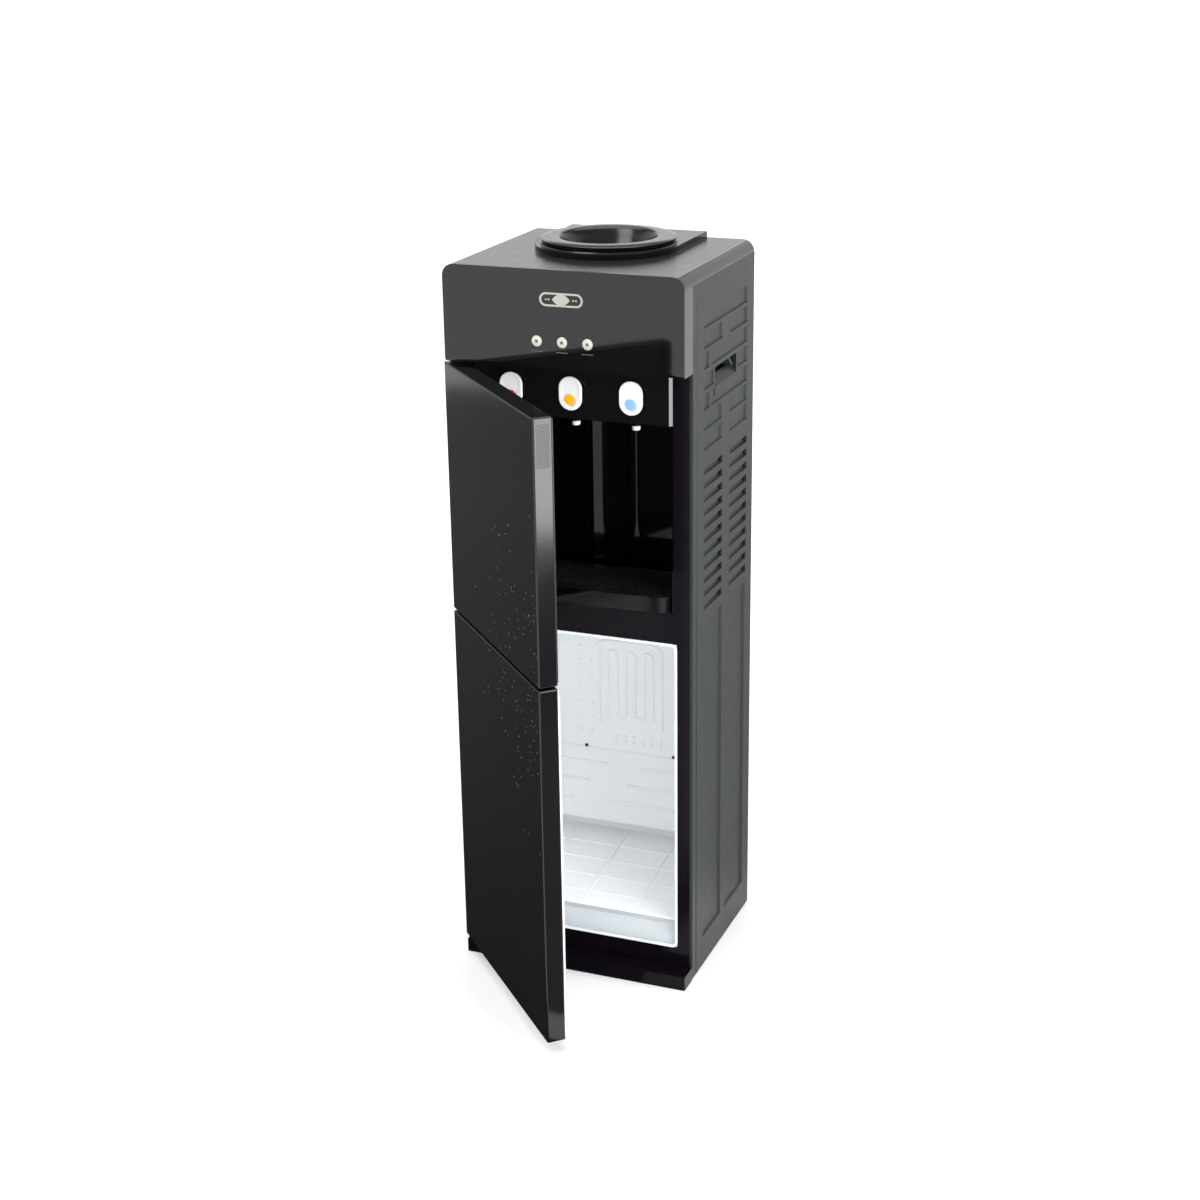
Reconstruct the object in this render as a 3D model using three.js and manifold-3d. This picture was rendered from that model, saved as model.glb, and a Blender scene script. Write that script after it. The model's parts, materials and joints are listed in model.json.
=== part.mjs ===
// Floor-standing water dispenser: a bottle collar on top, three push taps over a drip
// tray behind the upper door, and a small fridge behind the lower door.
// Millimetres, +Z up, front towards -Y, origin on the floor under the cabinet's middle.
import * as THREE from 'three';
import { mergeVertices } from 'three/addons/utils/BufferGeometryUtils.js';
import Module from 'manifold-3d';

const wasm = await Module();
wasm.setup();

// ---- Driving dimensions ----
const WIDTH = 332;
const DEPTH = 284;
const HEIGHT = 1000;
const HEAD_HEIGHT = 128;
const SETBACK = 32;              // lower body's face behind the head's face
const BASE_HEIGHT = 20.5;
const EDGE_RADIUS = 17;          // long top edges of the head
const GAP = 0.3;                 // between touching pieces
const SKIN = 3;                  // moulded casing wall
const SIDE_WALL = 4;
const SHEET = 1;                 // pressed steel
const FASCIA_HEIGHT = 71;
const ALCOVE_HEIGHT = 256;       // tray floor to fascia
const ALCOVE_MARGIN = 27;
const ALCOVE_CORNER = 26;
const ALCOVE_BOW = 12;
const MACHINE_DEPTH = 112;       // clear depth behind the alcove
const BAND = 43.5;               // bar between alcove and fridge
const SILL = 28.2;               // fridge opening above the base
const FRIDGE_MARGIN = 22.5;
const LINER = 2.5;
const REAR_SPACE = 34.5;         // behind the fridge's back wall
const FLOOR_STEP = 38;           // fridge floor above its sill
const FLOOR_RISE = 25;
const HUMP_HEIGHT = 185;         // top of the hump above the sill
const HUMP_DEPTH = 13;
const DOOR_CLEARANCE = 4.2;      // shut door to the lower body's face
const DOOR_INSET = 2;
const DOOR_GAP = 3;
const DOOR_WALL = 3;
const DOOR_OPEN = 46;            // degrees
const HINGE_INSET = 8;
const HINGE_PIN_RADIUS = 2.5;
const HINGE_PLATE = 1.6;
const RUNNING_GAP = 0.4;
const TAP_PITCH = 84;
const TAB_WIDTH = 32;
const TAB_HEIGHT = 45;
const TAB_THICKNESS = 4;
const TAB_PROUD = 5;
const TAB_POCKET = 11;
const TAB_AXLE = 12;             // axle above the tab's middle
const AXLE_RADIUS = 2.2;
const TAB_MARGIN = 1.4;          // tab to its window
const DOT_RADIUS = 7.2;
const NOZZLE_RADIUS = 6.8;
const NOZZLE_DROP = 12;
const TRAY_HEIGHT = 22;
const TRAY_CORNER = 12;
const TRAY_PROUD = 8;            // tray front before the frame's face
const TRAY_CLEARANCE = 0.8;
const TRAY_LIP = 3.5;            // tray rim above the grille's seat
const TRAY_SHORT = 20;           // tray rear before the alcove's back wall
const COLLAR_RADIUS = 91;
const COLLAR_BORE = 64;
const COLLAR_RISE = 10;
const COLLAR_FROM_REAR = 116;
const PLATEAU_RADIUS = 98;
const PLATEAU_RISE = 8;
const COLLAR_DEPTH = 62;
const TANK_RADIUS = 56;
const TANK_HEIGHT = 112;
const JACKET_WALL = 12;
const HOT_TANK_RADIUS = 40;
const HOT_TANK_HEIGHT = 160;
const COMPRESSOR_RADIUS = 50;
const COMPRESSOR_HEIGHT = 130;
const LAMP_RADIUS = 7.4;
const LAMP_PITCH = 35;
const LAMP_HEIGHT = 35;          // above the head's lower edge
const BADGE_WIDTH = 60;
const BADGE_HEIGHT = 18;
const BADGE_RISE = 90;
const HANDLE_LENGTH = 84;
const HANDLE_HEIGHT = 26;
const HANDLE_DEPTH = 22;
const HANDLE_SETBACK = 92;       // behind the body's face
const COURSE = 27;               // brick pattern
const COURSES = 7;
const PATTERN_DROP = 55;         // top course below the deck
const BRICK_MARGIN = 3;
const RELIEF = 1.6;
const COLUMN = 75;               // width of a column of louvres
const COLUMN_SETBACK = 44;       // first column behind the body's face
const COLUMN_PITCH = 106;
const LOUVRES = 11;
const LOUVRE_PITCH = 18.8;
const LOUVRE_SLOT = 5;
const LOUVRE_DROP = 26;          // first slot below the bricks
const FOOT_RADIUS = 16;
const FOOT_THICKNESS = 6;
const FOOT_INSET = 36;
const PAD_MARGIN = 4;
const PAN_RIB = 3;
const PAN_COLUMNS = 4;
const PAN_ROWS = 3;
const PAN_BOSS = 24;
const CONDENSER_TUBE = 2.4;

// ---- Heights and planes worked out from them ----
const HALF = WIDTH / 2;
const FRONT = -DEPTH / 2;
const BACK = DEPTH / 2;
const FACE = FRONT + SETBACK;
const DECK = HEIGHT;
const HEAD_LOW = HEIGHT - HEAD_HEIGHT;
const FASCIA_LOW = HEAD_LOW - FASCIA_HEIGHT;
const ALCOVE_LOW = FASCIA_LOW - ALCOVE_HEIGHT;
const FRIDGE_TOP = ALCOVE_LOW - BAND;
const FRIDGE_LOW = BASE_HEIGHT + SILL;
const FRIDGE_BACK = BACK - REAR_SPACE - LINER;
const ALCOVE_HALF = HALF - ALCOVE_MARGIN;
const FRIDGE_HALF = HALF - FRIDGE_MARGIN;
const REAR_SHEET = BACK - 16;
const ALCOVE_BACK = REAR_SHEET - MACHINE_DEPTH - LINER;
const INNER_HALF = HALF - SIDE_WALL - GAP;
const CASE_TOP = DECK - EDGE_RADIUS + 1;
const COLLAR_Y = BACK - COLLAR_FROM_REAR;
const COVER_UNDER = DECK - SKIN;
const DOOR_DEPTH = SETBACK - DOOR_CLEARANCE;
const HINGE_X = -HALF + HINGE_INSET;
const HINGE_Y = FRONT + DOOR_DEPTH / 2;
const DOOR_LOW = BASE_HEIGHT + DOOR_GAP;
const DOOR_HIGH = HEAD_LOW - DOOR_GAP;
const DOOR_SPLIT = FRIDGE_TOP + BAND / 2;
const TAP_X = [-TAP_PITCH, 0, TAP_PITCH];
const TAP_NAMES = ['hot', 'normal', 'cold'];
const FASCIA_FACE = FRONT + DOOR_DEPTH + 0.7;
const TAB_FACE = FASCIA_FACE - TAB_PROUD;
const TAB_MIDDLE = FASCIA_LOW + 34;
const TRAY_TOP = ALCOVE_LOW + TRAY_HEIGHT;
const MACHINE_DECK = FRIDGE_TOP + 20;

// ---- Finishes ----
const finish = (colour, roughness, metalness = 0) =>
  new THREE.MeshStandardMaterial({ color: colour, roughness, metalness });
const gloss = finish(0x0a0a0b, 0.12);
const satin = finish(0x1c1d1e, 0.45);
const grain = finish(0x2c2e2f, 0.6);
const white = finish(0xf0f2f3, 0.35);
const steel = finish(0x9aa0a4, 0.35, 1);
const painted = finish(0x151617, 0.5, 0.2);
const rubber = finish(0x161616, 0.9);
const foam = finish(0xe6dfc8, 0.95);
const silicone = finish(0xdfe6e8, 0.5);
const copper = finish(0xb06a3c, 0.35, 1);
const board = finish(0x1d5a34, 0.6);
const silver = finish(0xc9c6bc, 0.3, 0.8);
const tapColours = { hot: 0xd8503f, normal: 0xf2b21c, cold: 0x8fcdf0 };

// ---- Solids ----
function solid(geometry) {
  const flat = geometry.clone();
  flat.deleteAttribute('normal');
  flat.deleteAttribute('uv');
  const merged = mergeVertices(flat, 1e-4);
  return new wasm.Manifold(new wasm.Mesh({
    numProp: 3,
    vertProperties: new Float32Array(merged.attributes.position.array),
    triVerts: new Uint32Array(merged.index.array),
  }));
}

function surface(manifold) {
  const mesh = manifold.getMesh();
  const geometry = new THREE.BufferGeometry();
  geometry.setAttribute('position', new THREE.BufferAttribute(mesh.vertProperties, 3));
  geometry.setIndex(new THREE.BufferAttribute(mesh.triVerts, 1));
  geometry.computeVertexNormals();
  return geometry;
}

const join = (first, ...rest) => rest.reduce((sum, next) => sum.add(next), first);
const cut = (first, ...rest) => rest.reduce((left, next) => left.subtract(next), first);

function box(x0, x1, y0, y1, z0, z1) {
  const geometry = new THREE.BoxGeometry(x1 - x0, y1 - y0, z1 - z0);
  geometry.translate((x0 + x1) / 2, (y0 + y1) / 2, (z0 + z1) / 2);
  return solid(geometry);
}

// A post along Z from z0 to z1.
function post(x, y, radius, z0, z1, sides = 20) {
  const geometry = new THREE.CylinderGeometry(radius, radius, z1 - z0, sides);
  geometry.rotateX(Math.PI / 2);
  geometry.translate(x, y, (z0 + z1) / 2);
  return solid(geometry);
}

// A disc or rod along Y from y0 to y1.
function disc(x, z, radius, y0, y1, sides = 32) {
  const geometry = new THREE.CylinderGeometry(radius, radius, y1 - y0, sides);
  geometry.translate(x, (y0 + y1) / 2, z);
  return solid(geometry);
}

// A rod along X from x0 to x1.
function rod(x0, x1, y, z, radius, sides = 10) {
  const geometry = new THREE.CylinderGeometry(radius, radius, x1 - x0, sides);
  geometry.rotateZ(Math.PI / 2);
  geometry.translate((x0 + x1) / 2, y, z);
  return solid(geometry);
}

// A closed profile of [radius, height] points turned about a vertical axis.
function turned(points, x, y, segments = 48) {
  const profile = points.map(([r, z]) => new THREE.Vector2(r, z));
  if (THREE.ShapeUtils.area(profile) < 0) profile.reverse();
  const closed = [...profile, profile[0]];
  const geometry = new THREE.LatheGeometry(closed, segments);
  geometry.rotateX(Math.PI / 2);
  geometry.translate(x, y, 0);
  return solid(geometry);
}

// An outline in X and Z pushed from y0 to y1.
function pushed(shape, y0, y1, curveSegments = 8) {
  const geometry = new THREE.ExtrudeGeometry(shape, { depth: y1 - y0, bevelEnabled: false, curveSegments });
  geometry.rotateX(Math.PI / 2);
  geometry.translate(0, y1, 0);
  return solid(geometry);
}

// An outline in X and Y raised from z0 to z1.
function raised(shape, z0, z1, curveSegments = 8) {
  const geometry = new THREE.ExtrudeGeometry(shape, { depth: z1 - z0, bevelEnabled: false, curveSegments });
  geometry.translate(0, 0, z0);
  return solid(geometry);
}

// An outline in Y and Z pushed from x0 to x1.
function across(points, x0, x1) {
  const shape = new THREE.Shape(points.map(([y, z]) => new THREE.Vector2(y, z)));
  const geometry = new THREE.ExtrudeGeometry(shape, { depth: x1 - x0, bevelEnabled: false });
  geometry.applyMatrix4(new THREE.Matrix4().makeBasis(
    new THREE.Vector3(0, 1, 0), new THREE.Vector3(0, 0, 1), new THREE.Vector3(1, 0, 0)));
  geometry.translate(x0, 0, 0);
  return solid(geometry);
}

// A rectangle with rounded corners; the two at the far side can have their own radius.
function roundedRect(x0, x1, y0, y1, radius, far = radius) {
  const shape = new THREE.Shape();
  shape.moveTo(x0 + radius, y0);
  shape.lineTo(x1 - radius, y0);
  shape.absarc(x1 - radius, y0 + radius, radius, -Math.PI / 2, 0);
  shape.lineTo(x1, y1 - far);
  shape.absarc(x1 - far, y1 - far, far, 0, Math.PI / 2);
  shape.lineTo(x0 + far, y1);
  shape.absarc(x0 + far, y1 - far, far, Math.PI / 2, Math.PI);
  shape.lineTo(x0, y0 + radius);
  shape.absarc(x0 + radius, y0 + radius, radius, Math.PI, Math.PI * 1.5);
  return shape;
}

// The head's front outline: square at the bottom, rounded at the top.
function headOutline(halfWidth, z0, z1, radius) {
  const shape = new THREE.Shape();
  shape.moveTo(-halfWidth, z0);
  shape.lineTo(halfWidth, z0);
  shape.lineTo(halfWidth, z1 - radius);
  shape.absarc(halfWidth - radius, z1 - radius, radius, 0, Math.PI / 2);
  shape.lineTo(-halfWidth + radius, z1);
  shape.absarc(-halfWidth + radius, z1 - radius, radius, Math.PI / 2, Math.PI);
  return shape;
}

const tabOutline = (x, z, width, height) =>
  roundedRect(x - width / 2, x + width / 2, z - height / 2, z + height / 2, width / 2 - 0.01);

// A tube through a list of [x, y, z] points.
function tube(points, radius, sides, steps) {
  const path = new THREE.CatmullRomCurve3(points.map((p) => new THREE.Vector3(...p)), false, 'centripetal');
  const ring = new THREE.Shape();
  for (let i = 0; i < sides; i += 1) {
    const angle = (2 * Math.PI * i) / sides;
    const x = radius * Math.cos(angle);
    const y = radius * Math.sin(angle);
    if (i === 0) ring.moveTo(x, y);
    else ring.lineTo(x, y);
  }
  return solid(new THREE.ExtrudeGeometry(ring, { extrudePath: path, steps, bevelEnabled: false }));
}

// ---- Assembly ----
const dispenser = new THREE.Group();
const place = (parent, name, manifold, material) => {
  const mesh = new THREE.Mesh(surface(manifold), material);
  mesh.name = name;
  parent.add(mesh);
};

// ---- Base ----
const footCentres = [];
for (const [side, x] of [['left', -1], ['right', 1]]) {
  for (const [end, y] of [['front', -1], ['rear', 1]]) {
    footCentres.push({
      name: `foot_${end}_${side}`,
      x: x * (HALF - FOOT_INSET),
      y: y * (BACK - FOOT_INSET),
    });
  }
}

// A shallow tray upside down, its underside ribbed, with a pad over each foot.
function basePan() {
  const wide = INNER_HALF;
  const rear = REAR_SHEET - GAP;
  const pan = join(
    box(-HALF, HALF, FRONT, FACE - GAP, 0, BASE_HEIGHT),
    box(-wide, wide, FACE - 1, rear, 0, BASE_HEIGHT),
  );
  const pad = FOOT_RADIUS + PAD_MARGIN;
  const pads = footCentres.map((foot) => {
    const outX = Math.sign(foot.x) * HALF;
    const outY = Math.sign(foot.y) * BACK;
    const inX = foot.x - Math.sign(foot.x) * pad;
    const inY = foot.y - Math.sign(foot.y) * pad;
    return box(Math.min(outX, inX), Math.max(outX, inX), Math.min(outY, inY), Math.max(outY, inY),
      -2, BASE_HEIGHT);
  });
  const pitchX = (2 * wide - PAN_RIB) / PAN_COLUMNS;
  const pitchY = (rear - FRONT - PAN_RIB) / PAN_ROWS;
  const hollows = [];
  for (let i = 0; i < PAN_COLUMNS; i += 1) {
    for (let j = 0; j < PAN_ROWS; j += 1) {
      const x = -wide + PAN_RIB + i * pitchX;
      const y = FRONT + PAN_RIB + j * pitchY;
      const hollow = box(x, x + pitchX - PAN_RIB, y, y + pitchY - PAN_RIB, -1, BASE_HEIGHT - PAN_RIB);
      hollows.push(cut(hollow, ...pads));
    }
  }
  const sockets = footCentres.map((foot) =>
    post(foot.x, foot.y, FOOT_RADIUS + GAP, -1, FOOT_THICKNESS + GAP));
  const middle = box(-PAN_BOSS, PAN_BOSS, -PAN_BOSS, PAN_BOSS, 0, BASE_HEIGHT - 1);
  return cut(join(cut(pan, ...hollows), middle), ...sockets);
}

// ---- Casing ----
// Relief on a side panel: courses of sunk bricks, a carrying handle, two columns of louvres.
const COLUMN_FRONT = FACE + COLUMN_SETBACK;
const COLUMN_REAR = COLUMN_FRONT + COLUMN_PITCH;
const BRICK_END = COLUMN_REAR + COLUMN;
const HANDLE_FRONT = FACE + HANDLE_SETBACK;
const HANDLE_REAR = HANDLE_FRONT + HANDLE_LENGTH;
const PATTERN_HIGH = DECK - PATTERN_DROP;
const HANDLE_HIGH = PATTERN_HIGH - 3 * COURSE - 2;
const HANDLE_LOW = HANDLE_HIGH - HANDLE_HEIGHT;
const LOUVRE_HIGH = PATTERN_HIGH - COURSES * COURSE - LOUVRE_DROP;
const LOUVRE_LOW = LOUVRE_HIGH - (LOUVRES - 1) * LOUVRE_PITCH - LOUVRE_SLOT;
const SHORT_BRICK = 24;

const bricks = [
  [0, COLUMN_FRONT, BRICK_END],
  [1, COLUMN_FRONT, COLUMN_FRONT + COLUMN], [1, COLUMN_REAR, BRICK_END],
  [2, COLUMN_FRONT, COLUMN_FRONT + SHORT_BRICK], [2, COLUMN_FRONT + SHORT_BRICK + 6, BRICK_END],
  [4, COLUMN_FRONT, COLUMN_FRONT + SHORT_BRICK], [4, COLUMN_FRONT + SHORT_BRICK + 6, BRICK_END],
  [5, COLUMN_FRONT, COLUMN_FRONT + COLUMN], [5, COLUMN_REAR, BRICK_END],
  [6, COLUMN_FRONT, COLUMN_FRONT + COLUMN], [6, COLUMN_REAR, BRICK_END],
];

// A box on one side of the cabinet: its depth runs inwards from the outer face.
function sideBox(sign, depth0, depth1, y0, y1, z0, z1) {
  const a = sign * (HALF - depth0);
  const b = sign * (HALF - depth1);
  return box(Math.min(a, b), Math.max(a, b), y0, y1, z0, z1);
}

function sidePanel(sign) {
  const cell = (...args) => sideBox(sign, ...args);
  const panel = cell(0, SIDE_WALL, FACE, BACK, 2, CASE_TOP - GAP);
  const tools = bricks.map(([course, y0, y1]) => {
    const top = PATTERN_HIGH - course * COURSE;
    return cell(-1, RELIEF, y0, y1, top - COURSE + BRICK_MARGIN, top - BRICK_MARGIN);
  });
  for (const y0 of [COLUMN_FRONT, COLUMN_REAR]) {
    const y1 = y0 + COLUMN;
    for (let i = 0; i < LOUVRES; i += 1) {
      const z = LOUVRE_HIGH - i * LOUVRE_PITCH;
      tools.push(cell(-1, SIDE_WALL + 1, y0, y1, z - LOUVRE_SLOT, z));
    }
    tools.push(cell(-1, RELIEF, y0, y1, BASE_HEIGHT + 24, LOUVRE_LOW - 17));
  }
  const wall = 2.5;
  const pocket = cell(
    SIDE_WALL - 1, SIDE_WALL + HANDLE_DEPTH,
    HANDLE_FRONT - wall, HANDLE_REAR + wall, HANDLE_LOW - wall, HANDLE_HIGH + wall);
  const room = cell(
    -2, SIDE_WALL + HANDLE_DEPTH - wall, HANDLE_FRONT, HANDLE_REAR, HANDLE_LOW, HANDLE_HIGH);
  return cut(cut(panel, ...tools).add(pocket), room);
}

function topCover() {
  const y0 = FRONT + SKIN + GAP;
  const outside = pushed(headOutline(HALF, CASE_TOP, DECK, EDGE_RADIUS - 1), y0, BACK);
  const inside = pushed(
    headOutline(HALF - SKIN, CASE_TOP - 2, COVER_UNDER, EDGE_RADIUS - 1 - SKIN), y0 + SKIN, BACK - SKIN);
  const plateau = new THREE.Shape();
  plateau.moveTo(PLATEAU_RADIUS, BACK);
  plateau.lineTo(-PLATEAU_RADIUS, BACK);
  plateau.lineTo(-PLATEAU_RADIUS, COLLAR_Y);
  plateau.absarc(0, COLLAR_Y, PLATEAU_RADIUS, Math.PI, 2 * Math.PI);
  return cut(
    join(cut(outside, inside), raised(plateau, COVER_UNDER + 0.5, DECK + PLATEAU_RISE, 14)),
    post(0, COLLAR_Y, COLLAR_BORE + 8, DECK - 20, DECK + 20, 32),
  );
}

function headFrontPanel() {
  const skin = pushed(headOutline(HALF, HEAD_LOW, DECK, EDGE_RADIUS - 1), FRONT, FRONT + SKIN);
  const back = FACE - GAP;
  const y0 = FRONT + SKIN - 0.5;
  const lamps = TAP_X.map((_, i) =>
    disc((i - 1) * LAMP_PITCH, HEAD_LOW + LAMP_HEIGHT, LAMP_RADIUS + GAP, FRONT - 1, FRONT + SKIN + 1, 16));
  const top = CASE_TOP - GAP;
  return cut(join(
    skin,
    box(-HALF, -HALF + SKIN, y0, back, HEAD_LOW, top),
    box(HALF - SKIN, HALF, y0, back, HEAD_LOW, top),
    box(-HALF, HALF, y0, back, HEAD_LOW, HEAD_LOW + SKIN),
  ), ...lamps);
}

function lampLens(index) {
  const x = (index - 1) * LAMP_PITCH;
  const z = HEAD_LOW + LAMP_HEIGHT;
  return join(
    disc(x, z, LAMP_RADIUS, FRONT + 0.2, FRONT + SKIN + 2, 16),
    disc(x, z, LAMP_RADIUS + 2, FRONT + SKIN + GAP, FRONT + SKIN + 2, 16),
  );
}

function badgePlate() {
  const z = HEAD_LOW + BADGE_RISE;
  const plate = roundedRect(
    -BADGE_WIDTH / 2, BADGE_WIDTH / 2, z - BADGE_HEIGHT / 2, z + BADGE_HEIGHT / 2, BADGE_HEIGHT / 2 - 0.1);
  const y1 = FRONT + SKIN - 0.6;
  return pushed(plate, FRONT + 0.1, y1, 6);
}

function badgeRecess() {
  const z = HEAD_LOW + BADGE_RISE;
  const w = BADGE_WIDTH / 2 + GAP;
  const h = BADGE_HEIGHT / 2 + GAP;
  return pushed(roundedRect(-w, w, z - h, z + h, h - 0.1), FRONT - 1, FRONT + SKIN - 0.6 + GAP, 6);
}

function controlBoard() {
  const z = HEAD_LOW + LAMP_HEIGHT;
  const half = LAMP_PITCH + LAMP_RADIUS + 12;
  const y0 = FRONT + SKIN + 4;
  const plate = box(-half, half, y0, y0 + 1.6, z - 16, z + 16);
  const leds = TAP_X.map((_, i) => disc((i - 1) * LAMP_PITCH, z, 2.5, y0 - 1.4, y0 + 0.5, 12));
  return join(plate, ...leds);
}

// ---- Bottle seat and tanks ----
function bottleCollar() {
  const top = DECK + PLATEAU_RISE + COLLAR_RISE;
  const seat = DECK + PLATEAU_RISE + GAP;
  const low = top - COLLAR_DEPTH;
  const neck = COLLAR_BORE + 4;
  return turned([
    [COLLAR_BORE, top - 2], [COLLAR_BORE + 4, top], [COLLAR_RADIUS - 2, top], [COLLAR_RADIUS, top - 1.5],
    [COLLAR_RADIUS, top - 4], [COLLAR_RADIUS - 2, top - 5], [COLLAR_RADIUS - 2, seat + 3],
    [COLLAR_RADIUS + 1, seat + 2], [COLLAR_RADIUS + 1, seat],
    [neck, seat], [neck, low + 30], [34, low], [30, low], [30, low + 3], [COLLAR_BORE, low + 33],
  ], 0, COLLAR_Y, 36);
}

function bottleProbe() {
  const low = DECK + PLATEAU_RISE + COLLAR_RISE - COLLAR_DEPTH;
  return turned([
    [5, low - 8], [9, low - 8], [9, low], [30 - GAP, low], [30 - GAP, low + 3],
    [9, low + 5], [9, low + 18], [7, low + 20], [5, low + 20],
  ], 0, COLLAR_Y, 16);
}

const TANK_TOP = DECK + PLATEAU_RISE + COLLAR_RISE - COLLAR_DEPTH - 10;
const TANK_LOW = TANK_TOP - TANK_HEIGHT;

function coldTank() {
  return turned([
    [0, TANK_LOW], [TANK_RADIUS, TANK_LOW], [TANK_RADIUS, TANK_TOP], [TANK_RADIUS - SHEET, TANK_TOP],
    [TANK_RADIUS - SHEET, TANK_LOW + SHEET], [0, TANK_LOW + SHEET],
  ], 0, COLLAR_Y, 20);
}

function coldTankLid() {
  return turned([
    [11, TANK_TOP + GAP], [TANK_RADIUS + 3, TANK_TOP + GAP], [TANK_RADIUS + 3, TANK_TOP + 3],
    [11, TANK_TOP + 3],
  ], 0, COLLAR_Y, 20);
}

function coldTankJacket() {
  const inner = TANK_RADIUS + 1;
  const outer = inner + JACKET_WALL;
  const low = TANK_LOW - 1;
  return turned([
    [0, low - 8], [outer, low - 8], [outer, TANK_TOP], [inner, TANK_TOP], [inner, low], [0, low],
  ], 0, COLLAR_Y, 20);
}

const HOT_X = -(HALF - SIDE_WALL - HOT_TANK_RADIUS - 30);
const MACHINE_Y = (ALCOVE_BACK + LINER + REAR_SHEET) / 2;
const HOT_LOW = MACHINE_DECK + 40;

function hotTank() {
  const r = HOT_TANK_RADIUS;
  const top = HOT_LOW + HOT_TANK_HEIGHT;
  return turned([
    [0, HOT_LOW], [r * 0.7, HOT_LOW + 3], [r, HOT_LOW + 14], [r, top - 14], [r * 0.7, top - 3], [0, top],
    [0, top - SHEET], [r * 0.7 - SHEET, top - 3 - SHEET], [r - SHEET, top - 14],
    [r - SHEET, HOT_LOW + 14], [r * 0.7 - SHEET, HOT_LOW + 3 + SHEET], [0, HOT_LOW + SHEET],
  ], HOT_X, MACHINE_Y, 16).subtract(post(HOT_X, MACHINE_Y, 5, top - 8, top + 1, 12));
}

// The stand welded to the deck: a tube under a round table.
function hotTankStand() {
  const leg = HOT_TANK_RADIUS - 8;
  return cut(join(
    post(HOT_X, MACHINE_Y, leg, MACHINE_DECK - SHEET, HOT_LOW - 2, 24),
    post(HOT_X, MACHINE_Y, HOT_TANK_RADIUS + 2, HOT_LOW - 3, HOT_LOW - GAP, 24),
  ), post(HOT_X, MACHINE_Y, leg - 2, MACHINE_DECK - 5, HOT_LOW + 1, 24));
}

function thermostat() {
  const z = HOT_LOW + HOT_TANK_HEIGHT / 2;
  const y = MACHINE_Y + HOT_TANK_RADIUS + GAP;
  return join(disc(HOT_X, z, 8, y, y + 5, 16), box(HOT_X - 12, HOT_X + 12, y + 1, y + 2, z - 3, z + 3));
}

// ---- Cooling ----
const COMPRESSOR_X = HALF - SIDE_WALL - COMPRESSOR_RADIUS - 26;

function compressor() {
  const r = COMPRESSOR_RADIUS;
  const low = MACHINE_DECK + 14;
  const top = low + COMPRESSOR_HEIGHT;
  return turned([
    [0, low], [r * 0.7, low + 4], [r * 0.94, low + 20], [r * 0.94, top - 62], [r, top - 60], [r, top - 54],
    [r * 0.94, top - 52], [r * 0.94, top - 22], [r * 0.6, top - 4], [0, top],
  ], COMPRESSOR_X, MACHINE_Y, 20).add(box(
    COMPRESSOR_X - r - 8, COMPRESSOR_X + r + 8, MACHINE_Y - 30, MACHINE_Y + 30, low + 2, low + 5));
}

function compressorGrommet(sign) {
  const x = COMPRESSOR_X + sign * (COMPRESSOR_RADIUS + 1);
  return join(
    post(x, MACHINE_Y, 7, MACHINE_DECK + GAP, MACHINE_DECK + 16 - GAP, 16));
}

function machineDeck() {
  const y0 = ALCOVE_BACK + LINER + GAP;
  const half = INNER_HALF - GAP;
  return join(
    box(-half, half, y0, REAR_SHEET - GAP, MACHINE_DECK - SHEET, MACHINE_DECK),
    box(-half, half, y0, y0 + SHEET, MACHINE_DECK - 8, MACHINE_DECK),
    hotTankStand(),
  );
}

const COIL_RUNS = 7;
const COIL_TURN = 26;

function condenserCoil() {
  const x = HALF - SIDE_WALL - 34;
  const y = REAR_SHEET + 8;
  const low = BASE_HEIGHT + 30;
  const high = FRIDGE_TOP + 10;
  const pitch = (high - low) / (COIL_RUNS - 1);
  const at = (px, pz) => new THREE.Vector3(px, y, pz);
  const curves = [];
  for (let i = 0; i < COIL_RUNS; i += 1) {
    const sign = i % 2 === 0 ? 1 : -1;
    const z = low + i * pitch;
    const end = sign * x;
    const turn = end + sign * COIL_TURN;
    curves.push(new THREE.LineCurve3(at(-end, z), at(end, z)));
    if (i === COIL_RUNS - 1) break;
    curves.push(new THREE.CubicBezierCurve3(
      at(end, z), at(turn, z), at(turn, z + pitch), at(end, z + pitch)));
  }
  const ring = new THREE.Shape();
  ring.absarc(0, 0, CONDENSER_TUBE, 0, 2 * Math.PI);
  const tubes = curves.map((curve) => solid(new THREE.ExtrudeGeometry(ring, {
    extrudePath: curve, steps: curve.isLineCurve3 ? 1 : 4, curveSegments: 3, bevelEnabled: false })));
  const rails = [-x / 2, x / 2].map((rx) =>
    box(rx - 5, rx + 5, REAR_SHEET + SHEET + GAP, y + 1, low - 8, high + 8));
  return join(...tubes, ...rails);
}

// ---- Front of the lower body ----
function frontFrame() {
  const plate = box(-HALF, HALF, FACE, FACE + SKIN, BASE_HEIGHT + GAP, HEAD_LOW + 12);
  const sides = [-1, 1].map((s) => box(
    Math.min(s * (HALF + 1), s * (HALF - SIDE_WALL - GAP)), Math.max(s * (HALF + 1), s * (HALF - SIDE_WALL - GAP)),
    FACE - 1, FACE + SKIN + 1, 0, HEIGHT));
  return cut(
    plate, ...sides,
    box(-ALCOVE_HALF, ALCOVE_HALF, FACE - 1, FACE + SKIN + 1, ALCOVE_LOW, HEAD_LOW),
    box(-FRIDGE_HALF, FRIDGE_HALF, FACE - 1, FACE + SKIN + 1, FRIDGE_LOW, FRIDGE_TOP),
  );
}

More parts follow.
